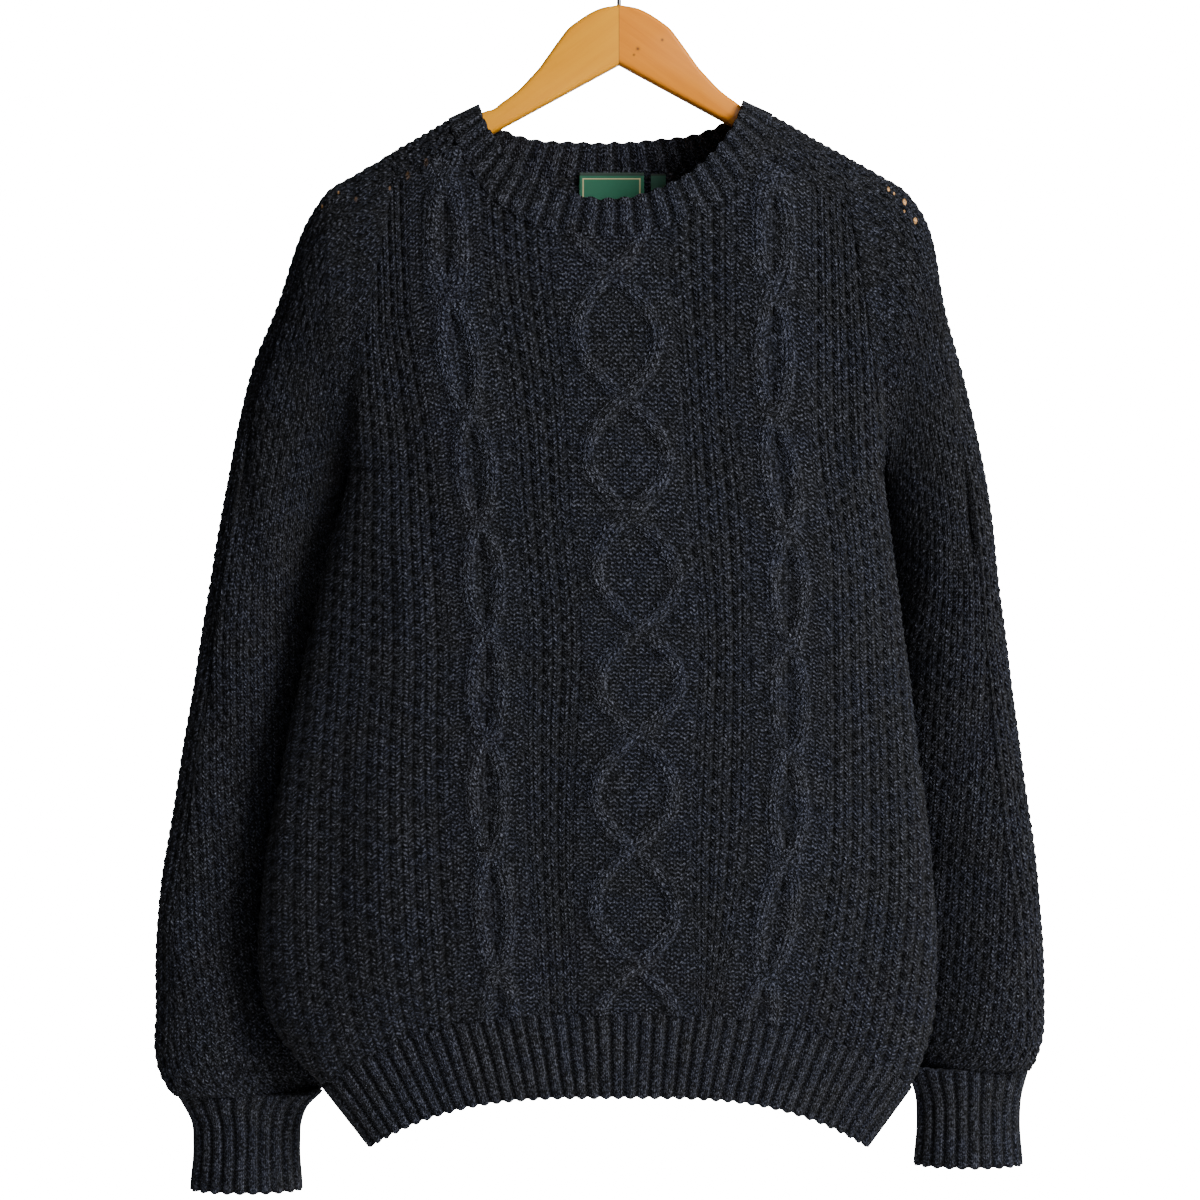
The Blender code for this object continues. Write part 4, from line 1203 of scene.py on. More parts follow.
@dataclass
class Ribbing:
    """Two by two rib: raised knit ribs with purl valleys between them."""

    ribs: int
    length: float
    wall: float = 0.0034
    height: float = 0.0018
    points_per_rib: int = 10
    row_pitch: float = 0.0020
    row_height: float = 0.0028
    scallop: float = 0.0013
    scallop_reach: float = 0.0040
    free_edge_below: bool = True
    fewest_rows: int = 6
    wander: float = 0.05
    # Steps on the rib's wave: the rise of a rib, where it is knitted, and where the valley's shade ends
    rise: tuple = (-1.0, 0.35)
    knitted: tuple = (-0.85, -0.35)
    shaded: tuple = (-1.0, -0.50)
    shade: float = 0.9
    # Share of the rise that lies below the wall's own surface, and share that the inside follows
    sunk: float = 0.45
    inside_raised: float = 0.75
    wales_per_rib: float = 2.86
    purls_per_rib: float = 4.0
    # Share down the band at which its length is measured
    measured_at: float = 0.6

    def knit(self, across: Array, down: Array) -> Knit:
        """Knit the ribs on a grid of shares across and down.

        Args:
            across: Share of the way across or round.
            down: Share of the way down.

        Returns:
            What is knitted at each point.
        """
        knit = Knit.plain(across.shape)
        place = across * self.ribs
        wander = self.wander * uneven(0.7 * place, 5.0 * down, 1.1)
        from_crest = from_whole(place + wander)
        crest = np.cos(2.0 * math.pi * from_crest)
        knit.height = self.height * (step_up(crest, *self.rise) - self.sunk)
        knit.knit[..., 0] = from_crest * self.wales_per_rib
        knit.knit[..., 1] = down * self.length / self.row_height
        knit.knit[..., 2] = step_up(crest, *self.knitted)
        knit.purl[..., 0] = place * self.purls_per_rib
        knit.purl[..., 1] = knit.knit[..., 1]
        knit.purl[..., 2] = self.shade * (1.0 - step_up(crest, *self.shaded))
        return knit

    def build(self, name: str, band: Band, wool: bpy.types.Material, flat: tuple[float, float]) -> None:
        """Make one band and hand it over to its node.

        Args:
            name: Node of the frame.
            band: The band's form.
            wool: The wool's material.
            flat: Width and length of the flat cloth; not used.
        """
        shares = self.even_shares(band)
        rows = max(self.fewest_rows, round(self.length / self.row_pitch))
        across, down = np.meshgrid(shares, np.linspace(0.0, 1.0, rows + 1))
        count, _ = np.meshgrid(np.linspace(0.0, 1.0, len(shares)), down[:, 0])
        points = band.points(across, down)
        normals = grid_normals(points, band.closed)
        crest = np.cos(2.0 * math.pi * self.ribs * count)
        to_edge = 1.0 - down if self.free_edge_below else down
        scallop = self.scallop * (0.5 + 0.5 * crest) * bell(to_edge * self.length / self.scallop_reach)
        outward = unit(points[-1] - points[0]) * (1.0 if self.free_edge_below else -1.0)
        points = points + outward[None] * scallop[..., None]
        weaver = Weaver(name + "_knit")
        middle = points.mean(axis=(0, 1))
        towards = np.sum(normals * (points - middle), axis=-1).mean()
        inside = self.knit(count + 0.5 / self.ribs, down)
        cloth = Cloth(points, normals * np.sign(towards), self.knit(count, down), inside)
        weaver.lay_wall([cloth], self.wall, 1, self.inside_raised)
        piece = weaver.finish(wool)
        hand_over(piece, name)

    def even_shares(self, band: Band) -> Array:
        """Shares across that space the ribs evenly along the band's middle.

        Args:
            band: The band's form.

        Returns:
            One share for each column.
        """
        dense = np.linspace(0.0, 1.0, MEASURED_POINTS)
        line = band.points(dense, np.full_like(dense, self.measured_at))
        lengths = lengths_along(line)
        wanted = np.linspace(0.0, lengths[-1], self.ribs * self.points_per_rib + 1)
        return np.interp(wanted, lengths, dense)


# Sleeves


@dataclass(frozen=True)
class SleeveFold:
    """Soft trough or ridge round part of a sleeve: how far down, where round, its reach and its depth."""

    down: float
    angle: float
    length: float
    width: float
    slope: float
    depth: float


SLEEVE_FOLDS = (
    SleeveFold(0.30, 0.9, 0.05, 0.9, 0.10, -0.0035),
    SleeveFold(0.42, 1.8, 0.04, 0.8, -0.08, 0.0030),
    SleeveFold(0.56, 1.1, 0.05, 0.9, 0.06, -0.0028),
    SleeveFold(0.70, 2.0, 0.04, 0.7, -0.10, -0.0026),
    SleeveFold(0.82, 0.7, 0.05, 0.9, 0.08, 0.0030),
    SleeveFold(0.36, -1.2, 0.05, 0.9, 0.09, -0.0034),
    SleeveFold(0.62, -1.7, 0.05, 0.8, -0.07, -0.0030),
    SleeveFold(0.78, -1.0, 0.04, 0.9, 0.08, 0.0028),
)


@dataclass
class Sleeve:
    """Sleeve with its saddle strap, knitted in one waffle ground that runs from the neck to the cuff."""

    side: Side
    # Outer X, Z and Y, inner X, Z and Y, and half the depth of each ring, from the shoulder down
    rings: tuple
    cell_width: float
    wall: float = 0.0032
    inside_step: int = 4
    top_columns: int = 48
    bottom_columns: int = 112
    strap_rows: int = 40
    tube_rows: int = 320
    armhole_gap: float = -0.0007
    cut_width: float = 0.32
    cut_length: float = 0.66
    # Columns beside the underarm seam and rows below the armhole over which the relief sets in
    seam_columns: float = 4.0
    armhole_rows: float = 10.0

    def angles(self) -> tuple[Array, Array]:
        """Angles over the strap from back to front, and then round under the arm.

        Returns:
            The angles over the strap, and those under the arm.
        """
        half = GARMENT.armhole_half_height
        front = math.acos(1.0 - STRAP_FALLS[(self.side, Face.FRONT)] / half)
        back = math.acos(1.0 - STRAP_FALLS[(self.side, Face.BACK)] / half)
        top = np.linspace(-back, front, self.top_columns + 1)
        bottom = np.linspace(front, 2.0 * math.pi - back, self.bottom_columns + 1)
        return top, bottom

    def armhole(self, angles: Array, over_strap: Array) -> Array:
        """Ring of the sleeve along the armhole.

        Args:
            angles: Angles round.
            over_strap: Whether each is over the strap.

        Returns:
            One point for each angle.
        """
        half = GARMENT.armhole_half_height
        top, _ = self.angles()
        fall = half * (1.0 - np.cos(angles))
        corners = [
            float(GARMENT.edge_x(CHART.corner_z(self.side, face), self.side))
            for face in (Face.BACK, Face.FRONT)
        ]
        top_x = np.interp(angles, (top[0], top[-1]), corners)
        ridge = GARMENT.ridge_z(np.interp(0.0, (top[0], top[-1]), corners))
        z = ridge - fall * (ridge - GARMENT.underarm_z) / (2.0 * half)
        z = np.where(over_strap, GARMENT.ridge_z(top_x) - fall, z)
        x = np.where(over_strap, top_x, GARMENT.edge_x(z, self.side)) + self.side.value * self.armhole_gap
        return on_either_face(x, z, np.sin(angles) > 0)

    def ring(self, row: tuple, angles: Array) -> Array:
        """Ring of the sleeve between its outer and inner ends.

        Args:
            row: The ring's measures.
            angles: Angles round.

        Returns:
            One point for each angle.
        """
        outer_x, outer_z, outer_y, inner_x, inner_z, inner_y, half_depth = row
        share = (1.0 - np.cos(angles)) / 2.0
        y = mix(outer_y, inner_y, share) - half_depth * np.sin(angles)
        return np.stack((mix(outer_x, inner_x, share), y, mix(outer_z, inner_z, share)), axis=-1)

    def tube(self, angles: Array, over_strap: Array) -> Array:
        """Grid of points from the armhole to the cuff.

        Args:
            angles: Angles round.
            over_strap: Whether each is over the strap.

        Returns:
            Rows of points.
        """
        rings = np.array([self.armhole(angles, over_strap)] + [self.ring(row, angles) for row in self.rings])
        lengths = lengths_along(rings.mean(axis=1))
        return smooth_curve(lengths, rings, np.linspace(0.0, lengths[-1], self.tube_rows + 1))

    def strap(self, armhole_top: Array) -> Array:
        """Grid of points from the neck to the armhole.

        Args:
            armhole_top: Row of points at which the strap meets the tube.

        Returns:
            Rows of points.
        """
        top, _ = self.angles()
        fall = GARMENT.armhole_half_height * (1.0 - np.cos(top))
        reach = np.linspace(0.0, math.pi / 2, MEASURED_POINTS)
        in_front = top > 0
        front = np.interp(fall, NECK_SEAM.front_fall * np.sin(reach) ** NECK_SEAM.power, reach)
        back = np.interp(fall, NECK_SEAM.back_fall * np.sin(reach) ** NECK_SEAM.power, reach)
        turn = np.where(in_front, front, back)
        half_width = NECK_SEAM.half_width * np.cos(turn) + CHART.seam_ease
        neck_x = NECK_SEAM.centre_x + self.side.value * half_width
        rows = []
        for share in np.linspace(0.0, 1.0, self.strap_rows + 1):
            x = mix(neck_x, armhole_top[:, 0], share)
            rows.append(on_either_face(x, GARMENT.ridge_z(x) - fall, in_front))
        rows[-1] = armhole_top
        return np.array(rows)

    def cells(self, grid: Array, ridge_column: int, lengths_down: Array) -> Knit:
        """Knit the waffle on a grid: columns run from the neck to the cuff.

        Args:
            grid: Rows of points.
            ridge_column: Column on the shoulder line.
            lengths_down: Length down to each row.

        Returns:
            What is knitted at each point.
        """
        down = (lengths_down / WAFFLE.cell_height)[:, None] * np.ones((1, grid.shape[1]))
        steps = np.linalg.norm(np.diff(grid, axis=1), axis=2)
        lengths = np.concatenate((np.zeros((len(grid), 1)), np.cumsum(steps, axis=1)), axis=1)
        across = (lengths - lengths[:, [ridge_column]]) / self.cell_width
        knit = Knit.plain(grid.shape[:2])
        knit.waffle[..., 0] = across + 0.5
        knit.waffle[..., 1] = down
        knit.waffle[..., 2] = 1.0
        knit.height = WAFFLE.relief(across + 0.5, down)
        return knit

    def folding(self, angles: Array) -> Array:
        """Depth of the sleeve's soft folds on the tube's grid.

        Args:
            angles: Angles round.

        Returns:
            The depth at each point.
        """
        down = np.linspace(0.0, 1.0, self.tube_rows + 1)[:, None]
        total = np.zeros((len(down), len(angles)))
        for fold in SLEEVE_FOLDS:
            turn = (angles[None, :] - fold.angle + math.pi) % (2 * math.pi) - math.pi
            past = down - fold.down - fold.slope * turn
            total += fold.depth * bell(turn / fold.width) * bell(past / fold.length)
        return total

    def build(self, name: str, wool: bpy.types.Material) -> None:
        """Make the sleeve and hand it over to its node.

        Args:
            name: Node of the frame.
            wool: The wool's material.
        """
        top, bottom = self.angles()
        upper = self.tube(top, np.full(top.shape, True))
        lower = self.tube(bottom, np.full(bottom.shape, False))
        whole = self.from_underarm(np.concatenate((upper, lower[:, 1:-1]), axis=1))
        angles = self.from_underarm(np.concatenate((top, bottom[1:-1]))[None, :])[0]
        first = self.bottom_columns // 2
        over = slice(first, first + self.top_columns + 1)
        normals = grid_normals(whole, closed=True)
        outward = whole - whole.mean(axis=1, keepdims=True)
        normals = normals * np.sign(np.sum(normals * outward, axis=-1).mean())
        strap = self.strap(upper[0])
        strap_normals = grid_normals(strap, closed=False)
        strap_normals = strap_normals * np.sign(strap_normals[len(strap) // 2, self.top_columns // 2, 2])
        strap_normals[-1] = unit(strap_normals[-1] + normals[0, over])
        normals[0, over] = strap_normals[-1]

        lengths = lengths_along(whole.mean(axis=1))
        ridge_column = int(np.argmin(np.abs(top)))
        strap_length = float(np.linalg.norm(strap[0, ridge_column] - strap[-1, ridge_column]))
        knit = self.cells(whole, first + ridge_column, lengths)
        knit.height = knit.height + self.folding(angles)
        strap_knit = self.cells(strap, ridge_column, np.linspace(-strap_length, 0.0, len(strap)))
        self.ease_seams(knit, strap_knit, over)
        weaver = Weaver(name + "_knit")
        cloths = [Cloth(whole, normals, knit), Cloth(strap, strap_normals, strap_knit)]
        weaver.lay_wall(cloths, self.wall, self.inside_step)
        piece = weaver.finish(wool)
        hand_over(piece, name)

    def from_underarm(self, grid: Array) -> Array:
        """Grid of a full turn, begun and closed at the underarm seam."""
        turned = np.roll(grid, self.bottom_columns // 2, axis=1)
        return np.concatenate((turned, turned[:, :1]), axis=1)

    def ease_seams(self, knit: Knit, strap_knit: Knit, over: slice) -> None:
        """Flatten the relief at the underarm seam and match it where the strap meets the tube.

        Args:
            knit: Knitting of the tube.
            strap_knit: Knitting of the strap.
            over: Columns of the tube that are over the strap.
        """
        columns = np.arange(knit.height.shape[1])
        to_seam = np.minimum(columns, columns[::-1])
        knit.height = knit.height * step_up(to_seam, 0.0, self.seam_columns)[None, :]
        rows = np.arange(len(knit.height))
        share = step_up(rows, 0.0, self.armhole_rows)[:, None]
        under = np.ones(len(columns), dtype=bool)
        under[over] = False
        knit.height[:, under] *= share
        strap_knit.height[-1] = knit.height[0, over]


def on_either_face(x: Array, z: Array, in_front: Array) -> Array:
    """Points of the skin, on the front where that is so and on the back elsewhere.

    Args:
        x: Place along X.
        z: Height.
        in_front: Whether each point is in front.

    Returns:
        The points.
    """
    front = GARMENT.skin(x, z, Face.FRONT)
    back = GARMENT.skin(x, z, Face.BACK)
    return np.where(in_front[..., None], front, back)


LEFT_RINGS = (
    (-0.1880, -0.1903, 0.000, -0.1923, -0.406, 0.003, 0.0360),
    (-0.2065, -0.2015, 0.000, -0.1938, -0.413, 0.006, 0.0360),
    (-0.2166, -0.2150, 0.000, -0.1956, -0.421, 0.010, 0.0360),
    (-0.2428, -0.2790, 0.002, -0.2008, -0.443, 0.021, 0.0360),
    (-0.2598, -0.3216, 0.004, -0.2045, -0.458, 0.028, 0.0360),
    (-0.2705, -0.3642, 0.006, -0.2088, -0.476, 0.034, 0.0355),
    (-0.2790, -0.4070, 0.008, -0.2125, -0.498, 0.039, 0.0350),
    (-0.2955, -0.4920, 0.012, -0.2090, -0.550, 0.046, 0.0340),
    (-0.3046, -0.5559, 0.014, -0.2110, -0.600, 0.048, 0.0340),
    (-0.3124, -0.5985, 0.016, -0.2140, -0.636, 0.050, 0.0335),
    (-0.3216, -0.6624, 0.018, -0.2160, -0.692, 0.052, 0.0335),
    (-0.3302, -0.7263, 0.018, -0.2130, -0.748, 0.052, 0.0340),
    (-0.3316, -0.7902, 0.016, -0.2070, -0.803, 0.048, 0.0345),
    (-0.3323, -0.8115, 0.015, -0.2050, -0.820, 0.046, 0.0345),
    (-0.3273, -0.8328, 0.014, -0.2070, -0.836, 0.044, 0.0320),
    (-0.3195, -0.8450, 0.013, -0.2125, -0.845, 0.042, 0.0280),
)
RIGHT_RINGS = (
    (0.1850, -0.1903, 0.000, 0.1883, -0.406, 0.003, 0.0360),
    (0.2024, -0.2010, 0.000, 0.1890, -0.413, 0.006, 0.0360),
    (0.2137, -0.2150, 0.000, 0.1900, -0.421, 0.011, 0.0360),
    (0.2315, -0.2790, 0.002, 0.1926, -0.443, 0.022, 0.0360),
    (0.2428, -0.3216, 0.004, 0.1944, -0.458, 0.028, 0.0360),
    (0.2528, -0.3642, 0.006, 0.1962, -0.476, 0.034, 0.0355),
    (0.2620, -0.4068, 0.008, 0.1965, -0.498, 0.039, 0.0350),
    (0.2741, -0.4920, 0.012, 0.1900, -0.550, 0.046, 0.0340),
    (0.2815, -0.5559, 0.014, 0.1860, -0.600, 0.048, 0.0340),
    (0.2876, -0.5985, 0.016, 0.1855, -0.636, 0.050, 0.0335),
    (0.2954, -0.6624, 0.018, 0.1880, -0.692, 0.052, 0.0335),
    (0.3025, -0.7263, 0.018, 0.1910, -0.745, 0.052, 0.0340),
    (0.3046, -0.7800, 0.016, 0.1950, -0.788, 0.048, 0.0345),
    (0.3039, -0.8020, 0.015, 0.1980, -0.806, 0.046, 0.0345),
    (0.2990, -0.8190, 0.014, 0.2020, -0.820, 0.044, 0.0320),
    (0.2950, -0.8270, 0.013, 0.2060, -0.827, 0.042, 0.0280),
)
LEFT_CUFF_ROWS = (
    (0.000, -0.3185, -0.2135, 0.0275),
    (0.009, -0.3130, -0.2230, 0.0240),
    (0.021, -0.3068, -0.2285, 0.0205),
    (0.038, -0.3053, -0.2300, 0.0195),
    (0.070, -0.3078, -0.2280, 0.0195),
)
RIGHT_CUFF_ROWS = (
    (0.000, 0.2945, 0.2065, 0.0275),
    (0.009, 0.2920, 0.2100, 0.0240),
    (0.021, 0.2890, 0.2140, 0.0205),
    (0.038, 0.2878, 0.2152, 0.0195),
    (0.070, 0.2900, 0.2128, 0.0195),
)


# Shaders


class Signal:
    """Shader value that is reckoned with like a number."""

    def __init__(self, tree: bpy.types.NodeTree, socket: bpy.types.NodeSocket) -> None:
        """Wrap an output socket."""
        self.tree = tree
        self.socket = socket

    def math(self, operation: str, *values: Signal | float) -> Signal:
        """Add a Math node to the tree.

        Args:
            operation: What the node does.
            values: Its values.

        Returns:
            The node's result.
        """
        node = self.tree.nodes.new("ShaderNodeMath")
        node.operation = operation
        for slot, value in zip(node.inputs, values):
            if isinstance(value, Signal):
                self.tree.links.new(value.socket, slot)
            else:
                slot.default_value = float(value)
        return Signal(self.tree, node.outputs[0])

    def __add__(self, other: Signal | float) -> Signal:
        """Sum."""
        return self.math("ADD", self, other)

    __radd__ = __add__

    def __sub__(self, other: Signal | float) -> Signal:
        """Difference."""
        return self.math("SUBTRACT", self, other)

    def __rsub__(self, other: float) -> Signal:
        """Difference from a number."""
        return self.math("SUBTRACT", other, self)

    def __mul__(self, other: Signal | float) -> Signal:
        """Product."""
        return self.math("MULTIPLY", self, other)

    __rmul__ = __mul__

    def __pow__(self, other: float) -> Signal:
        """Power."""
        return self.math("POWER", self, other)

    def cosine(self) -> Signal:
        """Cosine of a number of whole turns."""
        return self.math("COSINE", self * (2.0 * math.pi))

    def fraction(self) -> Signal:
        """Part past the decimal point."""
        return self.math("FRACT", self)

    def size(self) -> Signal:
        """Absolute value."""
        return self.math("ABSOLUTE", self)

    def at_least(self, other: Signal | float) -> Signal:
        """Larger of two values."""
        return self.math("MAXIMUM", self, other)

    def clamped(self) -> Signal:
        """Value kept between 0 and 1."""
        return self.math("MINIMUM", self.at_least(0.0), 1.0)

    def above(self, level: float, gain: float) -> Signal:
        """Rise above a level, times a gain and kept between 0 and 1."""
        return ((self - level) * gain).clamped()

    def rising_from(self, least: float) -> Signal:
        """Value squeezed so that it runs from a least one to 1."""
        return self * (1.0 - least) + least

    def bell(self, width: float) -> Signal:
        """Bell curve of this distance."""
        return self.math("EXPONENT", (self * (1.0 / width)) ** 2.0 * -1.0)


class Finish:
    """Node tree of one material."""

    def __init__(self, name: str) -> None:
        """Start a material with its Principled shader.

        Args:
            name: Name of the material.
        """
        self.material = bpy.data.materials.new(name)
        self.material.use_nodes = True
        self.tree = self.material.node_tree
        self.shader = self.tree.nodes["Principled BSDF"]

    def node(self, kind: str, settings: dict | None = None, **inputs: object) -> bpy.types.Node:
        """Add a node with its settings and the values or links of its sockets.

        Args:
            kind: Type of the node.
            settings: Attributes set before the sockets.
            inputs: Values, Signals or sockets, by the socket's name with _ for a space.

        Returns:
            The new node.
        """
        node = self.tree.nodes.new(kind)
        for name, value in (settings or {}).items():
            setattr(node, name, value)
        for name, value in inputs.items():
            slot = node.inputs[name.replace("_", " ")]
            self.feed(slot, value)
        return node

    def feed(self, slot: bpy.types.NodeSocket, value: object) -> None:
        """Give a socket a value or a link.

        Args:
            slot: The socket.
            value: A value, a Signal or a socket.
        """
        if isinstance(value, Signal):
            self.tree.links.new(value.socket, slot)
        elif isinstance(value, bpy.types.NodeSocket):
            self.tree.links.new(value, slot)
        else:
            slot.default_value = value

    def signal(self, socket: bpy.types.NodeSocket) -> Signal:
        """Wrap a socket for reckoning."""
        return Signal(self.tree, socket)

    def object_place(self) -> bpy.types.NodeSocket:
        """Place in the row's frame."""
        return self.node("ShaderNodeTexCoord").outputs["Object"]

    def noise(self, scale: float, detail: float = 2.0, stretch: tuple = (1.0, 1.0, 1.0)) -> Signal:
        """Noise over the object's own space.

        Args:
            scale: Scale of the noise.
            detail: Its detail.
            stretch: Scale of each axis.

        Returns:
            The noise, from 0 to 1.
        """
        mapping = self.node("ShaderNodeMapping", Vector=self.object_place(), Scale=stretch)
        noise = self.node("ShaderNodeTexNoise", Vector=mapping.outputs[0], Scale=scale, Detail=detail)
        return self.signal(noise.outputs["Fac"])

    def attribute(self, name: str) -> tuple[Signal, Signal, Signal]:
        """Three numbers that the mesh holds at each point.

        Args:
            name: Name of the attribute.

        Returns:
            The three numbers.
        """
        attribute = self.node("ShaderNodeAttribute", {"attribute_name": name})
        split = self.node("ShaderNodeSeparateXYZ", Vector=attribute.outputs["Vector"])
        return tuple(self.signal(output) for output in split.outputs)

    def blend(self, share: Signal | float, first: object, second: object) -> bpy.types.NodeSocket:
        """Mix two colours.

        Args:
            share: Share of the second.
            first: Colour at 0.
            second: Colour at 1.

        Returns:
            The mixed colour.
        """
        node = self.node("ShaderNodeMix", {"data_type": "RGBA"})
        self.feed(node.inputs["Factor"], share)
        self.feed(node.inputs[6], first)
        self.feed(node.inputs[7], second)
        return node.outputs[2]

    def bump(self, height: Signal, distance: float, strength: float = 1.0) -> None:
        """Raise the surface by a height."""
        bump = self.node("ShaderNodeBump", Strength=strength, Distance=distance, Height=height)
        self.feed(self.shader.inputs["Normal"], bump.outputs[0])

    def set(self, **values: object) -> None:
        """Set or link the shader's sockets."""
        for name, value in values.items():
            self.feed(self.shader.inputs[name.replace("_", " ")], value)


@dataclass(frozen=True)
class WoolFinish:
    """Dark navy heather wool, knitted."""

    # Colour of full painted shade, that the wool darkens to in holes, beside cords and in rib valleys
    deep: tuple = (0.0004, 0.0006, 0.0009, 1.0)
    navy: tuple = (0.0330, 0.0395, 0.0700, 1.0)
    grey: tuple = (0.0420, 0.0445, 0.0570, 1.0)
    fleck: tuple = (0.178, 0.188, 0.240, 1.0)
    roughness: float = 0.92
    sheen: float = 0.022
    sheen_roughness: float = 0.6
    shine: float = 0.09
    # Slope and swing of single stitches, and of the waffle's tall ones
    stitches: tuple = (2.8, 0.30)
    tall_stitches: tuple = (1.6, 0.44)
    # Scales of the noises
    fibre_scale: float = 1500.0
    yarn_scale: float = 640.0
    clump_scale: float = 240.0
    dye_scale: float = 38.0
    # Bump: its distance and the parts that raise it
    bump_distance: float = 0.0013
    stitch_height: float = 1.2
    hole_depth: float = 1.4
    fibre_height: float = 0.6
    yarn_height: float = 1.1
    # Painted light and shade in the colour: lighter on raised stitches, darker in the holes, beside the cords
    # and in the rib valleys
    stitch_light: float = 1.12
    purl_light: float = 0.92
    hole_shade: float = 0.95
    cord_shade: float = 0.72
    least_light: float = 0.08
    least_clump: float = 0.5
    # Level above which a noise is read, and its gain
    # The grain darkens the colour where the yarn noise is low, which is where the yarn's bump is low: partly
    # painted shade and partly the yarn's own uneven tone
    grain: tuple = (0.41, 6.0)
    clumps: tuple = (0.28, 2.4)
    fleck_yarn: tuple = (0.46, 5.0)
    fleck_fibres: tuple = (0.38, 4.0)
    dye: tuple = (0.40, 5.0)
    # Waffle's holes, as painted shade in the colour and as hollows in the bump: width and height in cells,
    # and what is left between them
    hole_size: tuple = (0.17, 0.27)
    hole_least: float = 0.12
    small_hole_size: tuple = (0.10, 0.22)
    small_hole_least: float = 0.15
    small_hole_share: float = 0.9
    wood: tuple = (0.80, 0.43, 0.17, 1.0)
    # Golden spots where the hanger shows through a dropped stitch, painted as lit wood since the gap is not
    # in the mesh: X, Z, half width and painted light
    dropped: tuple = (
        (-0.1356, -0.1850, 0.0020, 0.07), (-0.1484, -0.1942, 0.0020, 0.07),
        (-0.1610, -0.2030, 0.0011, 0.12), (-0.1850, -0.2104, 0.0013, 0.08),
        (-0.1980, -0.2046, 0.0008, 0.50), (-0.2095, -0.2144, 0.0009, 0.50),
        (0.1900, -0.2022, 0.0012, 0.90), (0.1938, -0.2055, 0.0008, 0.70),
        (0.2012, -0.2115, 0.0016, 1.00), (0.2006, -0.2185, 0.0008, 0.60),
        (0.2085, -0.2250, 0.0015, 1.00),
    )
    # Width of such a spot over its height
    narrow: float = 0.55

    def make(self) -> bpy.types.Material:
        """Make the material.

        Returns:
            The material.
        """
        finish = Finish("navy heather wool")
        cell_across, cell_down, on_waffle = finish.attribute("waffle")
        wale, row, on_knit = finish.attribute("knit")
        purl_wale, purl_row, shade = finish.attribute("purl")
        stitches = self.stitch(wale, row, *self.stitches) * on_knit
        tall_wale = cell_across * WAFFLE.wales_per_cell
        tall_row = cell_down * WAFFLE.rows_per_cell
        tall = self.stitch(tall_wale, tall_row, *self.tall_stitches) * on_waffle
        plain_share = (1.0 - on_knit - on_waffle).clamped()
        purl = self.purl(purl_wale, purl_row) * plain_share
        hole = self.hole(cell_across, cell_down) * on_waffle
        fibres = finish.noise(self.fibre_scale, 3.0)
        yarn = finish.noise(self.yarn_scale)
        clumps = finish.noise(self.clump_scale)
        height = stitches * self.stitch_height + tall + purl - hole * self.hole_depth
        height = height + fibres * self.fibre_height + yarn * self.yarn_height
        finish.bump(height, self.bump_distance)

        # Painted light and shade: the colour follows the stitches' relief and darkens in the holes, beside
        # the cords, in the rib valleys and where the yarn's bump is low; the clumps are the yarn's own uneven
        # tone
        relief = (stitches * self.stitch_light + tall + purl * self.purl_light).clamped()
        lit = relief.rising_from(self.least_light)
        lit = lit * (1.0 - hole * self.hole_shade) * (1.0 - shade * self.cord_shade)
        lit = lit * yarn.above(*self.grain).rising_from(self.least_light)
        lit = lit * clumps.above(*self.clumps).rising_from(self.least_clump)
        heather = yarn.above(*self.fleck_yarn) * fibres.above(*self.fleck_fibres)
        dye = finish.noise(self.dye_scale).above(*self.dye)
        wool = finish.blend(heather, finish.blend(dye, self.grey, self.navy), self.fleck)
        knitted = finish.blend(lit.clamped(), self.deep, wool)
        # The base colour takes the painted spots of lit wood where the hanger shows through
        finish.set(Base_Color=finish.blend(self.spots(finish), knitted, self.wood))
        finish.set(Roughness=self.roughness, Specular_IOR_Level=self.shine)
        finish.set(Sheen_Weight=self.sheen, Sheen_Roughness=self.sheen_roughness)
        return finish.material

    def spots(self, finish: Finish) -> Signal:
        """Find where the hanger's wood shows through the dropped stitches of the front, and paint it there as
        lit wood.

        Args:
            finish: The finish that the spots are part of.

        Returns:
            The share of painted, lit wood in the colour, from 0 to 1.
        """
        place = finish.node("ShaderNodeSeparateXYZ", Vector=finish.object_place())
        in_front = (finish.signal(place.outputs[1]) * -1000.0).clamped()
        shown = None
        for x, z, half_width, painted_light in self.dropped:
            off_x = finish.signal(place.outputs[0]) - x
            off_z = (finish.signal(place.outputs[2]) - z) * self.narrow
            inside = (half_width - (off_x ** 2.0 + off_z ** 2.0) ** 0.5) * (1.0 / (0.4 * half_width))
            spot = inside.clamped() * painted_light
            shown = spot if shown is None else shown.at_least(spot)
        return shown * in_front

    def stitch(self, wale: Signal, row: Signal, slope: float, swing: float) -> Signal:
        """Height of knit stitches: two legs to a wale that meet in a V.

        Args:
            wale: Place across, counted in wales.
            row: Place down, counted in rows.
            slope: Rows that a V is deep for each wale of its width.
            swing: Share of the height that is lost between two rows, halved.

        Returns:
            The height, from 0 to 1.
        """
        from_middle = (wale.fraction() - 0.5).size()
        legs = (1.0 - (from_middle * 4.0 - 1.0) ** 2.0).at_least(0.0) ** 0.6
        turn = (row + from_middle * slope).cosine() * swing + (1.0 - swing)
        return legs * turn

    def purl(self, wale: Signal, row: Signal) -> Signal:
        """Height of purl stitches: waved rows of small bumps."""
        waved = (row + wale.cosine() * 0.20).cosine() * 0.5 + 0.5
        return waved * ((wale * 2.0).cosine() * 0.2 + 0.8)

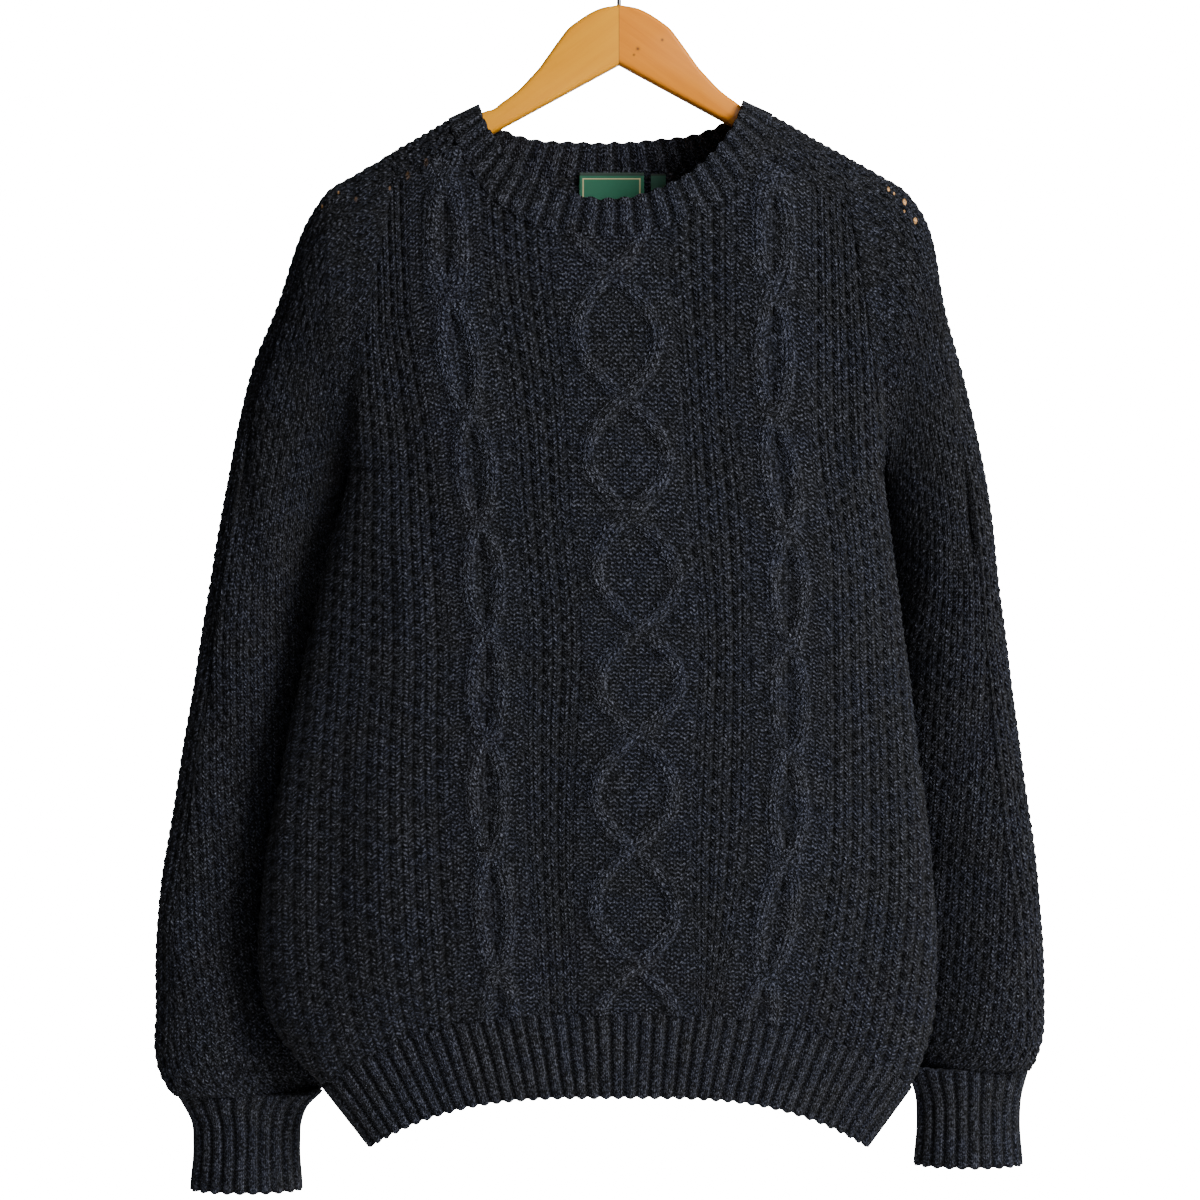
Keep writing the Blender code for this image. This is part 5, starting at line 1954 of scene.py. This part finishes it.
    def hole(self, across: Signal, down: Signal) -> Signal:
        """Depth of the waffle's holes in the bump, and their painted shade in the colour: deep between the
        pairs of wales and faint within them.

        Args:
            across: Place across, in cells.
            down: Place down, in cells.

        Returns:
            The depth and painted shade, from 0 to 1.
        """
        from_column = ((across + 0.5).fraction() - 0.5).size()
        from_row = ((down + 0.5).fraction() - 0.5).size()
        width, height = self.hole_size
        deep = from_column.bell(width) * from_row.bell(height).rising_from(self.hole_least)
        width, height = self.small_hole_size
        within = (across.fraction() - 0.5).size().bell(width)
        small = (down.fraction() - 0.5).size().bell(height).rising_from(self.small_hole_least)
        return (deep + within * small * self.small_hole_share).clamped()


@dataclass(frozen=True)
class WoodFinish:
    """Golden varnished wood with fine grain along the arm."""

    name: str
    light: tuple
    dark: tuple
    slope: float
    # Knots: X, Z and size of each
    knots: tuple = ()
    knot: tuple = (0.10, 0.035, 0.012, 1.0)
    joint: tuple = (0.20, 0.075, 0.02, 1.0)
    joint_width: float = 0.00035
    joint_strength: float = 0.6
    # Grain: how far it is drawn out along the arm, scales, and level and gain of its bands and lines
    drawn_out: float = 0.05
    line_scale: float = 900.0
    band_scale: float = 160.0
    bands: tuple = (0.40, 2.2)
    lines: tuple = (0.42, 2.5)
    band_share: float = 0.65

    def make(self) -> bpy.types.Material:
        """Make the material.

        Returns:
            The material.
        """
        finish = Finish(self.name)
        turned = finish.node(
            "ShaderNodeMapping", Vector=finish.object_place(), Rotation=(0.0, self.slope, 0.0))
        stretched = finish.node(
            "ShaderNodeMapping", Vector=turned.outputs[0], Scale=(self.drawn_out, 1.0, 1.0))
        fine = finish.node(
            "ShaderNodeTexNoise", Vector=stretched.outputs[0], Scale=self.line_scale, Detail=4.0)
        broad = finish.node(
            "ShaderNodeTexNoise", Vector=stretched.outputs[0], Scale=self.band_scale, Detail=3.0,
            Distortion=0.4)
        grain = finish.signal(fine.outputs["Fac"])
        bands = finish.signal(broad.outputs["Fac"])
        tone = bands.above(*self.bands) * self.band_share
        tone = tone + grain.above(*self.lines) * (1.0 - self.band_share)
        colour = finish.blend(tone, self.light, self.dark)
        place = finish.node("ShaderNodeSeparateXYZ", Vector=finish.object_place())
        for x, z, size in self.knots:
            off_x = finish.signal(place.outputs[0]) - x
            off_z = finish.signal(place.outputs[2]) - z
            spot = ((off_x ** 2.0 + off_z ** 2.0) ** 0.5).bell(size)
            colour = finish.blend(spot.clamped(), colour, self.knot)
        joint = finish.signal(place.outputs[0]).size().bell(self.joint_width)
        colour = finish.blend(joint * self.joint_strength, colour, self.joint)
        finish.set(Base_Color=colour, Roughness=0.34 + 0.1 * grain)
        finish.set(Coat_Weight=0.2, Coat_Roughness=0.12, Specular_IOR_Level=0.3)
        finish.bump(grain, 0.00012, 0.5)
        return finish.material


@dataclass(frozen=True)
class TapeFinish:
    """Green woven tape, with a plain border thread where it is asked for."""

    name: str
    body: tuple
    border: tuple
    label: Label
    fold: float
    has_border: bool
    warp: float = 2600.0
    weft: float = 1900.0
    # Border thread: its place from the sides and below the fold, and its width
    thread_from_side: float = 0.0030
    thread_below_fold: float = 0.0024
    thread_width: float = 0.0004
    fold_shadow_width: float = 0.0005

    def make(self) -> bpy.types.Material:
        """Make the material.

        Returns:
            The material.
        """
        finish = Finish(self.name)
        place = finish.node("ShaderNodeSeparateXYZ", Vector=finish.object_place())
        x = finish.signal(place.outputs[0])
        z = finish.signal(place.outputs[2])
        warp = (x * self.warp).cosine() * 0.5 + 0.5
        weft = (z * self.weft).cosine() * 0.5 + 0.5
        weave = warp * 0.6 + weft * 0.4
        dirt = finish.noise(420.0, 3.0)
        darker = tuple(0.55 * part for part in self.body[:3]) + (1.0,)
        colour = finish.blend((weave * 0.7 + dirt * 0.4).clamped(), darker, self.body)
        below_fold = (self.label.top_z - self.fold) - z
        folded = (1.0 - below_fold * 3000.0).clamped()
        if self.has_border:
            from_side = self.label.width / 2 - (x - self.label.centre_x).size()
            upright = (from_side - self.thread_from_side).size().bell(self.thread_width)
            thread = upright + (below_fold - self.thread_below_fold).size().bell(self.thread_width)
            inside = (from_side * 4000.0 - 10.0).clamped() * (below_fold * 4000.0 - 8.0).clamped()
            colour = finish.blend((thread.clamped() * inside) * 0.8, colour, self.border)
        shadow = below_fold.size().bell(self.fold_shadow_width) * 0.6
        top_colour = tuple(0.15 * part + 0.004 for part in self.body[:3]) + (1.0,)
        colour = finish.blend(folded, colour, top_colour)
        colour = finish.blend(shadow, colour, (0.0, 0.008, 0.004, 1.0))
        finish.set(Base_Color=colour, Roughness=0.62)
        finish.bump(weave, 0.00025, 0.8)
        return finish.material


# Labels and hanger


@dataclass
class Label:
    """Woven label inside the back neck."""

    node: str
    centre_x: float
    width: float
    top_z: float
    height: float
    inset: float = 0.0050
    thickness: float = 0.0008
    curl: float = 0.0012
    columns: int = 32
    rows: int = 24

    def build(self, tape: bpy.types.Material) -> None:
        """Make the label and hand it over to its node.

        Args:
            tape: The tape's material.
        """
        x, down = np.meshgrid(
            self.centre_x + np.linspace(-0.5, 0.5, self.columns + 1) * self.width,
            np.linspace(0.0, 1.0, self.rows + 1))
        z = self.top_z - down * self.height
        points = GARMENT.skin(x, z, Face.BACK)
        normals = grid_normals(points, closed=False)
        normals = normals * np.sign(normals[0, 0, 1])
        curl = self.curl * down**2 * bell((x - self.centre_x) / self.width)
        points = points - normals * (self.inset + curl)[..., None]
        weaver = Weaver(self.node + "_tape")
        weaver.lay_wall([Cloth(points, normals, Knit.plain(x.shape))], self.thickness)
        piece = weaver.finish(tape)
        hand_over(piece, self.node)


@dataclass
class Hanger:
    """Two flat wooden arms that meet in the middle, and the wire hook above them."""

    thickness: float = 0.013
    rounding: float = 0.0035
    joint_gap: float = 0.0
    tip_x: float = 0.203
    end_radius: float = 0.0095
    end_drop: float = 0.002
    under_band_x: float = 0.094
    below_shoulder: float = 0.0070
    upper: tuple = (
        (0.000, -0.0700), (0.0140, -0.0727), (0.0210, -0.0760), (0.0284, -0.0808), (0.0355, -0.0861),
        (0.0426, -0.0950), (0.0497, -0.1049), (0.0568, -0.1148), (0.0639, -0.1226), (0.0710, -0.1300),
        (0.0781, -0.1357), (0.0838, -0.1397), (0.0888, -0.1438),
    )
    lower: tuple = ((0.118, -0.1764), (0.059, -0.1444), (0.000, -0.1124))
    wire_radius: float = 0.0016
    hook_radius: float = 0.0205
    hook_foot_z: float = -0.0697
    hook_stem_top_z: float = -0.0530
    # Points along the upper edge and of its part under the neckband, and the tip's turn in degrees
    top_points: int = 70
    under_points: int = 7
    tip_turn: tuple = (62.0, -95.0)
    tip_points: int = 14
    # Turn of the hook in degrees, with the points of its bend and of its neck
    hook_turn: tuple = (215.0, -50.0)
    hook_points: int = 40
    neck_points: int = 14
    sharp_degrees: float = 40.0

    def outline(self, side: Side) -> list[tuple[float, float]]:
        """Outline of an arm, smoothed along its upper and lower edges.

        Args:
            side: Left or right.

        Returns:
            X and Z of each corner.
        """
        tip = self.tip_x - self.end_radius
        under_x = np.linspace(self.under_band_x, tip, self.under_points)
        under_z = GARMENT.ridge_z(side.value * under_x) - self.below_shoulder
        top = np.array(self.upper + tuple(zip(under_x, under_z)))
        top_points = self.smoothed(top, self.top_points)
        tip_z = under_z[-1] - self.end_radius - self.end_drop
        turns = np.radians(np.linspace(*self.tip_turn, self.tip_points))
        end_x = tip + self.end_radius * np.cos(turns)
        end = np.stack((end_x, tip_z + self.end_radius * np.sin(turns)), axis=-1)
        points = np.concatenate((top_points, end, np.array(self.lower)))
        return [(side.value * max(x, self.joint_gap), z) for x, z in points]

    def smoothed(self, line: Array, count: int) -> Array:
        """Smooth curve through points."""
        lengths = lengths_along(line)
        return smooth_curve(lengths, line, np.linspace(0.0, lengths[-1], count))

    def build_arm(self, side: Side, wood: bpy.types.Material) -> None:
        """Cut an arm from a board and round its edges.

        Args:
            side: Left or right.
            wood: The wood's material.
        """
        node = "hanger_arm_" + side.name.lower()
        mesh = bmesh.new()
        corners = [mesh.verts.new((x, -self.thickness / 2, z)) for x, z in self.outline(side)]
        face = mesh.faces.new(corners)
        board = bmesh.ops.extrude_face_region(mesh, geom=[face])
        moved = [item for item in board["geom"] if isinstance(item, bmesh.types.BMVert)]
        bmesh.ops.translate(mesh, verts=moved, vec=(0.0, self.thickness, 0.0))
        bmesh.ops.recalc_face_normals(mesh, faces=mesh.faces)
        rims = [
            edge for edge in mesh.edges
            if abs(edge.verts[0].co.y - edge.verts[1].co.y) < 1e-6
            and not all(abs(vertex.co.x) < 0.01 * MM for vertex in edge.verts)
        ]
        bmesh.ops.bevel(
            mesh, geom=rims, offset=self.rounding, offset_type="OFFSET", segments=4, profile=0.5,
            affect="EDGES", clamp_overlap=True, material=-1)
        bmesh.ops.triangulate(mesh, faces=[face for face in mesh.faces if len(face.verts) > 4])
        piece = piece_from(mesh, node + "_wood", wood)
        piece.data.set_sharp_from_angle(angle=math.radians(self.sharp_degrees))
        hand_over(piece, node)

    def build_hook(self, wire: bpy.types.Material) -> None:
        """Bend the wire hook.

        Args:
            wire: The wire's material.
        """
        turns = np.radians(np.linspace(*self.hook_turn, self.hook_points))
        centre_z = self.wire_radius - self.hook_radius
        arc = [
            (self.hook_radius * math.cos(turn), centre_z + self.hook_radius * math.sin(turn))
            for turn in turns
        ]
        last_x, last_z = arc[-1]
        neck = [
            (last_x * (1 - share) ** 2, mix(last_z, self.hook_stem_top_z, share))
            for share in np.linspace(0.0, 1.0, self.neck_points)[1:]
        ]
        route = arc + neck + [(0.0, self.hook_foot_z)]
        curve = bpy.data.curves.new("hanger_hook_wire", "CURVE")
        curve.dimensions = "3D"
        curve.bevel_depth = self.wire_radius
        curve.bevel_resolution = 4
        curve.use_fill_caps = True
        spline = curve.splines.new("POLY")
        spline.points.add(len(route) - 1)
        for point, (x, z) in zip(spline.points, route):
            point.co = (x, 0.0, z, 1.0)
        curve.materials.append(wire)
        piece = in_scene("hanger_hook_wire", curve)
        hand_over(piece, "hanger_hook")


def wire_finish() -> bpy.types.Material:
    """Dark drawn steel wire.

    Returns:
        The material.
    """
    finish = Finish("dark steel wire")
    scratches = finish.noise(900.0, 3.0, (1.0, 1.0, 0.1))
    finish.set(Base_Color=finish.blend(scratches, (0.05, 0.05, 0.055, 1.0), (0.16, 0.16, 0.17, 1.0)))
    finish.set(Metallic=1.0, Roughness=0.25 + 0.2 * scratches)
    return finish.material


# Studio


@dataclass
class Studio:
    """White surroundings, soft light from the right and the camera in front."""

    middle_x: float = -0.0135
    middle_z: float = -0.4920
    distance: float = 2.0
    view_width: float = 0.852
    sensor: float = 36.0
    floor_z: float = -1.35
    floor_size: float = 2.4
    dome_radius: float = 9.0
    dim_light: float = 0.17
    room_glow: float = 22.0

    def build(self) -> None:
        """Set up everything round the sweater."""
        self.camera()
        self.surroundings()
        self.light("key", (2.35, -2.0, 0.70), 1.5, 208.0)
        self.light("fill", (1.2, -2.9, 0.2), 2.0, 20.0)
        self.light("back", (0.7, 2.9, 0.5), 2.0, 120.0)

    def camera(self) -> None:
        """Place the camera in front at mid height."""
        data = bpy.data.cameras.new("camera")
        data.sensor_width = self.sensor
        data.lens = self.sensor * self.distance / self.view_width
        camera = in_scene("camera", data)
        camera.location = (self.middle_x, -self.distance, self.middle_z)
        camera.rotation_euler = (math.pi / 2, 0.0, 0.0)
        bpy.context.scene.camera = camera

    def surroundings(self) -> None:
        """White room that the camera sees, a pale floor and dim light from all round."""
        world = bpy.data.worlds.new("studio")
        world.use_nodes = True
        background = world.node_tree.nodes["Background"]
        background.inputs["Color"].default_value = (1.0, 1.0, 1.0, 1.0)
        background.inputs["Strength"].default_value = self.dim_light
        bpy.context.scene.world = world

        mesh = bmesh.new()
        bmesh.ops.create_uvsphere(mesh, u_segments=48, v_segments=24, radius=self.dome_radius)
        bmesh.ops.reverse_faces(mesh, faces=mesh.faces)
        room = self.stage_piece("room", mesh, self.glow())
        room.visible_diffuse = False
        room.visible_glossy = False
        room.visible_transmission = False
        room.visible_shadow = False

        mesh = bmesh.new()
        bmesh.ops.create_grid(mesh, x_segments=1, y_segments=1, size=self.floor_size / 2)
        for vertex in mesh.verts:
            vertex.co.z = self.floor_z
        finish = Finish("pale floor")
        finish.set(Base_Color=(0.88, 0.88, 0.88, 1.0), Roughness=0.7)
        self.stage_piece("floor", mesh, finish.material)

    def stage_piece(
        self, name: str, mesh: bmesh.types.BMesh, material: bpy.types.Material,
    ) -> bpy.types.Object:
        """Put a piece of the studio in place.

        Args:
            name: Name of the piece.
            mesh: The mesh, which is freed.
            material: Its material.

        Returns:
            The piece.
        """
        piece = piece_from(mesh, name, material)
        return piece

    def glow(self) -> bpy.types.Material:
        """White that needs no light.

        Returns:
            The material.
        """
        finish = Finish("white room")
        finish.set(Base_Color=(0.0, 0.0, 0.0, 1.0), Specular_IOR_Level=0.0)
        finish.set(Emission_Color=(1.0, 1.0, 1.0, 1.0), Emission_Strength=self.room_glow)
        return finish.material

    def light(self, name: str, place: tuple, size: float, power: float) -> None:
        """Add a soft light that faces the sweater's middle.

        Args:
            name: Name of the light.
            place: Where it stands.
            size: Its width.
            power: Its power in watts.
        """
        data = bpy.data.lights.new(name, "AREA")
        data.shape = "DISK"
        data.size = size
        data.energy = power
        light = in_scene(name, data)
        light.location = place
        aim = np.array((self.middle_x, 0.0, self.middle_z)) - np.array(place)
        light.rotation_euler = (
            math.acos(-aim[2] / np.linalg.norm(aim)), 0.0, math.atan2(aim[1], aim[0]) - math.pi / 2)


def main() -> None:
    """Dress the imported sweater, piece by piece."""
    logging.basicConfig(level=logging.INFO, format="%(name)s: %(message)s")
    for old in list(bpy.data.objects):
        bpy.data.objects.remove(old, do_unlink=True)
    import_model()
    Studio().build()

    wool = WoolFinish().make()
    Body().build(wool)
    Sleeve(Side.LEFT, LEFT_RINGS, cell_width=0.0112).build("left_sleeve", wool)
    Sleeve(Side.RIGHT, RIGHT_RINGS, cell_width=0.0104).build("right_sleeve", wool)
    Ribbing(46, 0.060).build("front_hem_rib", HemBand(Face.FRONT), wool, (0.40, 0.060))
    Ribbing(46, 0.060).build("back_hem_rib", HemBand(Face.BACK), wool, (0.40, 0.060))
    neck_ribbing = Ribbing(46, 0.026, free_edge_below=False)
    neck_ribbing.build("neckband", NeckBand(), wool, (0.52, 0.026))
    Ribbing(21, 0.070).build("left_cuff", CuffBand(LEFT_CUFF_ROWS, -0.8450), wool, (0.20, 0.070))
    Ribbing(21, 0.070).build("right_cuff", CuffBand(RIGHT_CUFF_ROWS, -0.8270), wool, (0.19, 0.070))

    green = (0.002, 0.120, 0.058, 1.0)
    cream = (0.70, 0.55, 0.28, 1.0)
    label = Label("neck_label", -0.0052, 0.047, -0.1835, 0.032)
    green_tape = TapeFinish("green woven label", green, cream, label, 0.0026, True)
    label.build(green_tape.make())
    tab = Label("size_tab", 0.0287, 0.011, -0.1845, 0.0135)
    dark_green = (0.014, 0.085, 0.052, 1.0)
    dark_tape = TapeFinish("dark green tab", dark_green, cream, tab, 0.0016, False)
    tab.build(dark_tape.make())

    hanger = Hanger()
    light_wood = WoodFinish("golden wood left", (0.74, 0.300, 0.001, 1.0), (0.64, 0.225, 0.001, 1.0), 0.62)
    red_wood = WoodFinish(
        "golden wood right", (0.70, 0.225, 0.001, 1.0), (0.58, 0.160, 0.001, 1.0), -0.62,
        knots=((0.0306, -0.0956, 0.0010), (0.0133, -0.1019, 0.0012), (0.0105, -0.1062, 0.0008)))
    hanger.build_arm(Side.LEFT, light_wood.make())
    hanger.build_arm(Side.RIGHT, red_wood.make())
    hanger.build_hook(wire_finish())

    log.info("dressed")


if __name__ == "__main__":
    main()
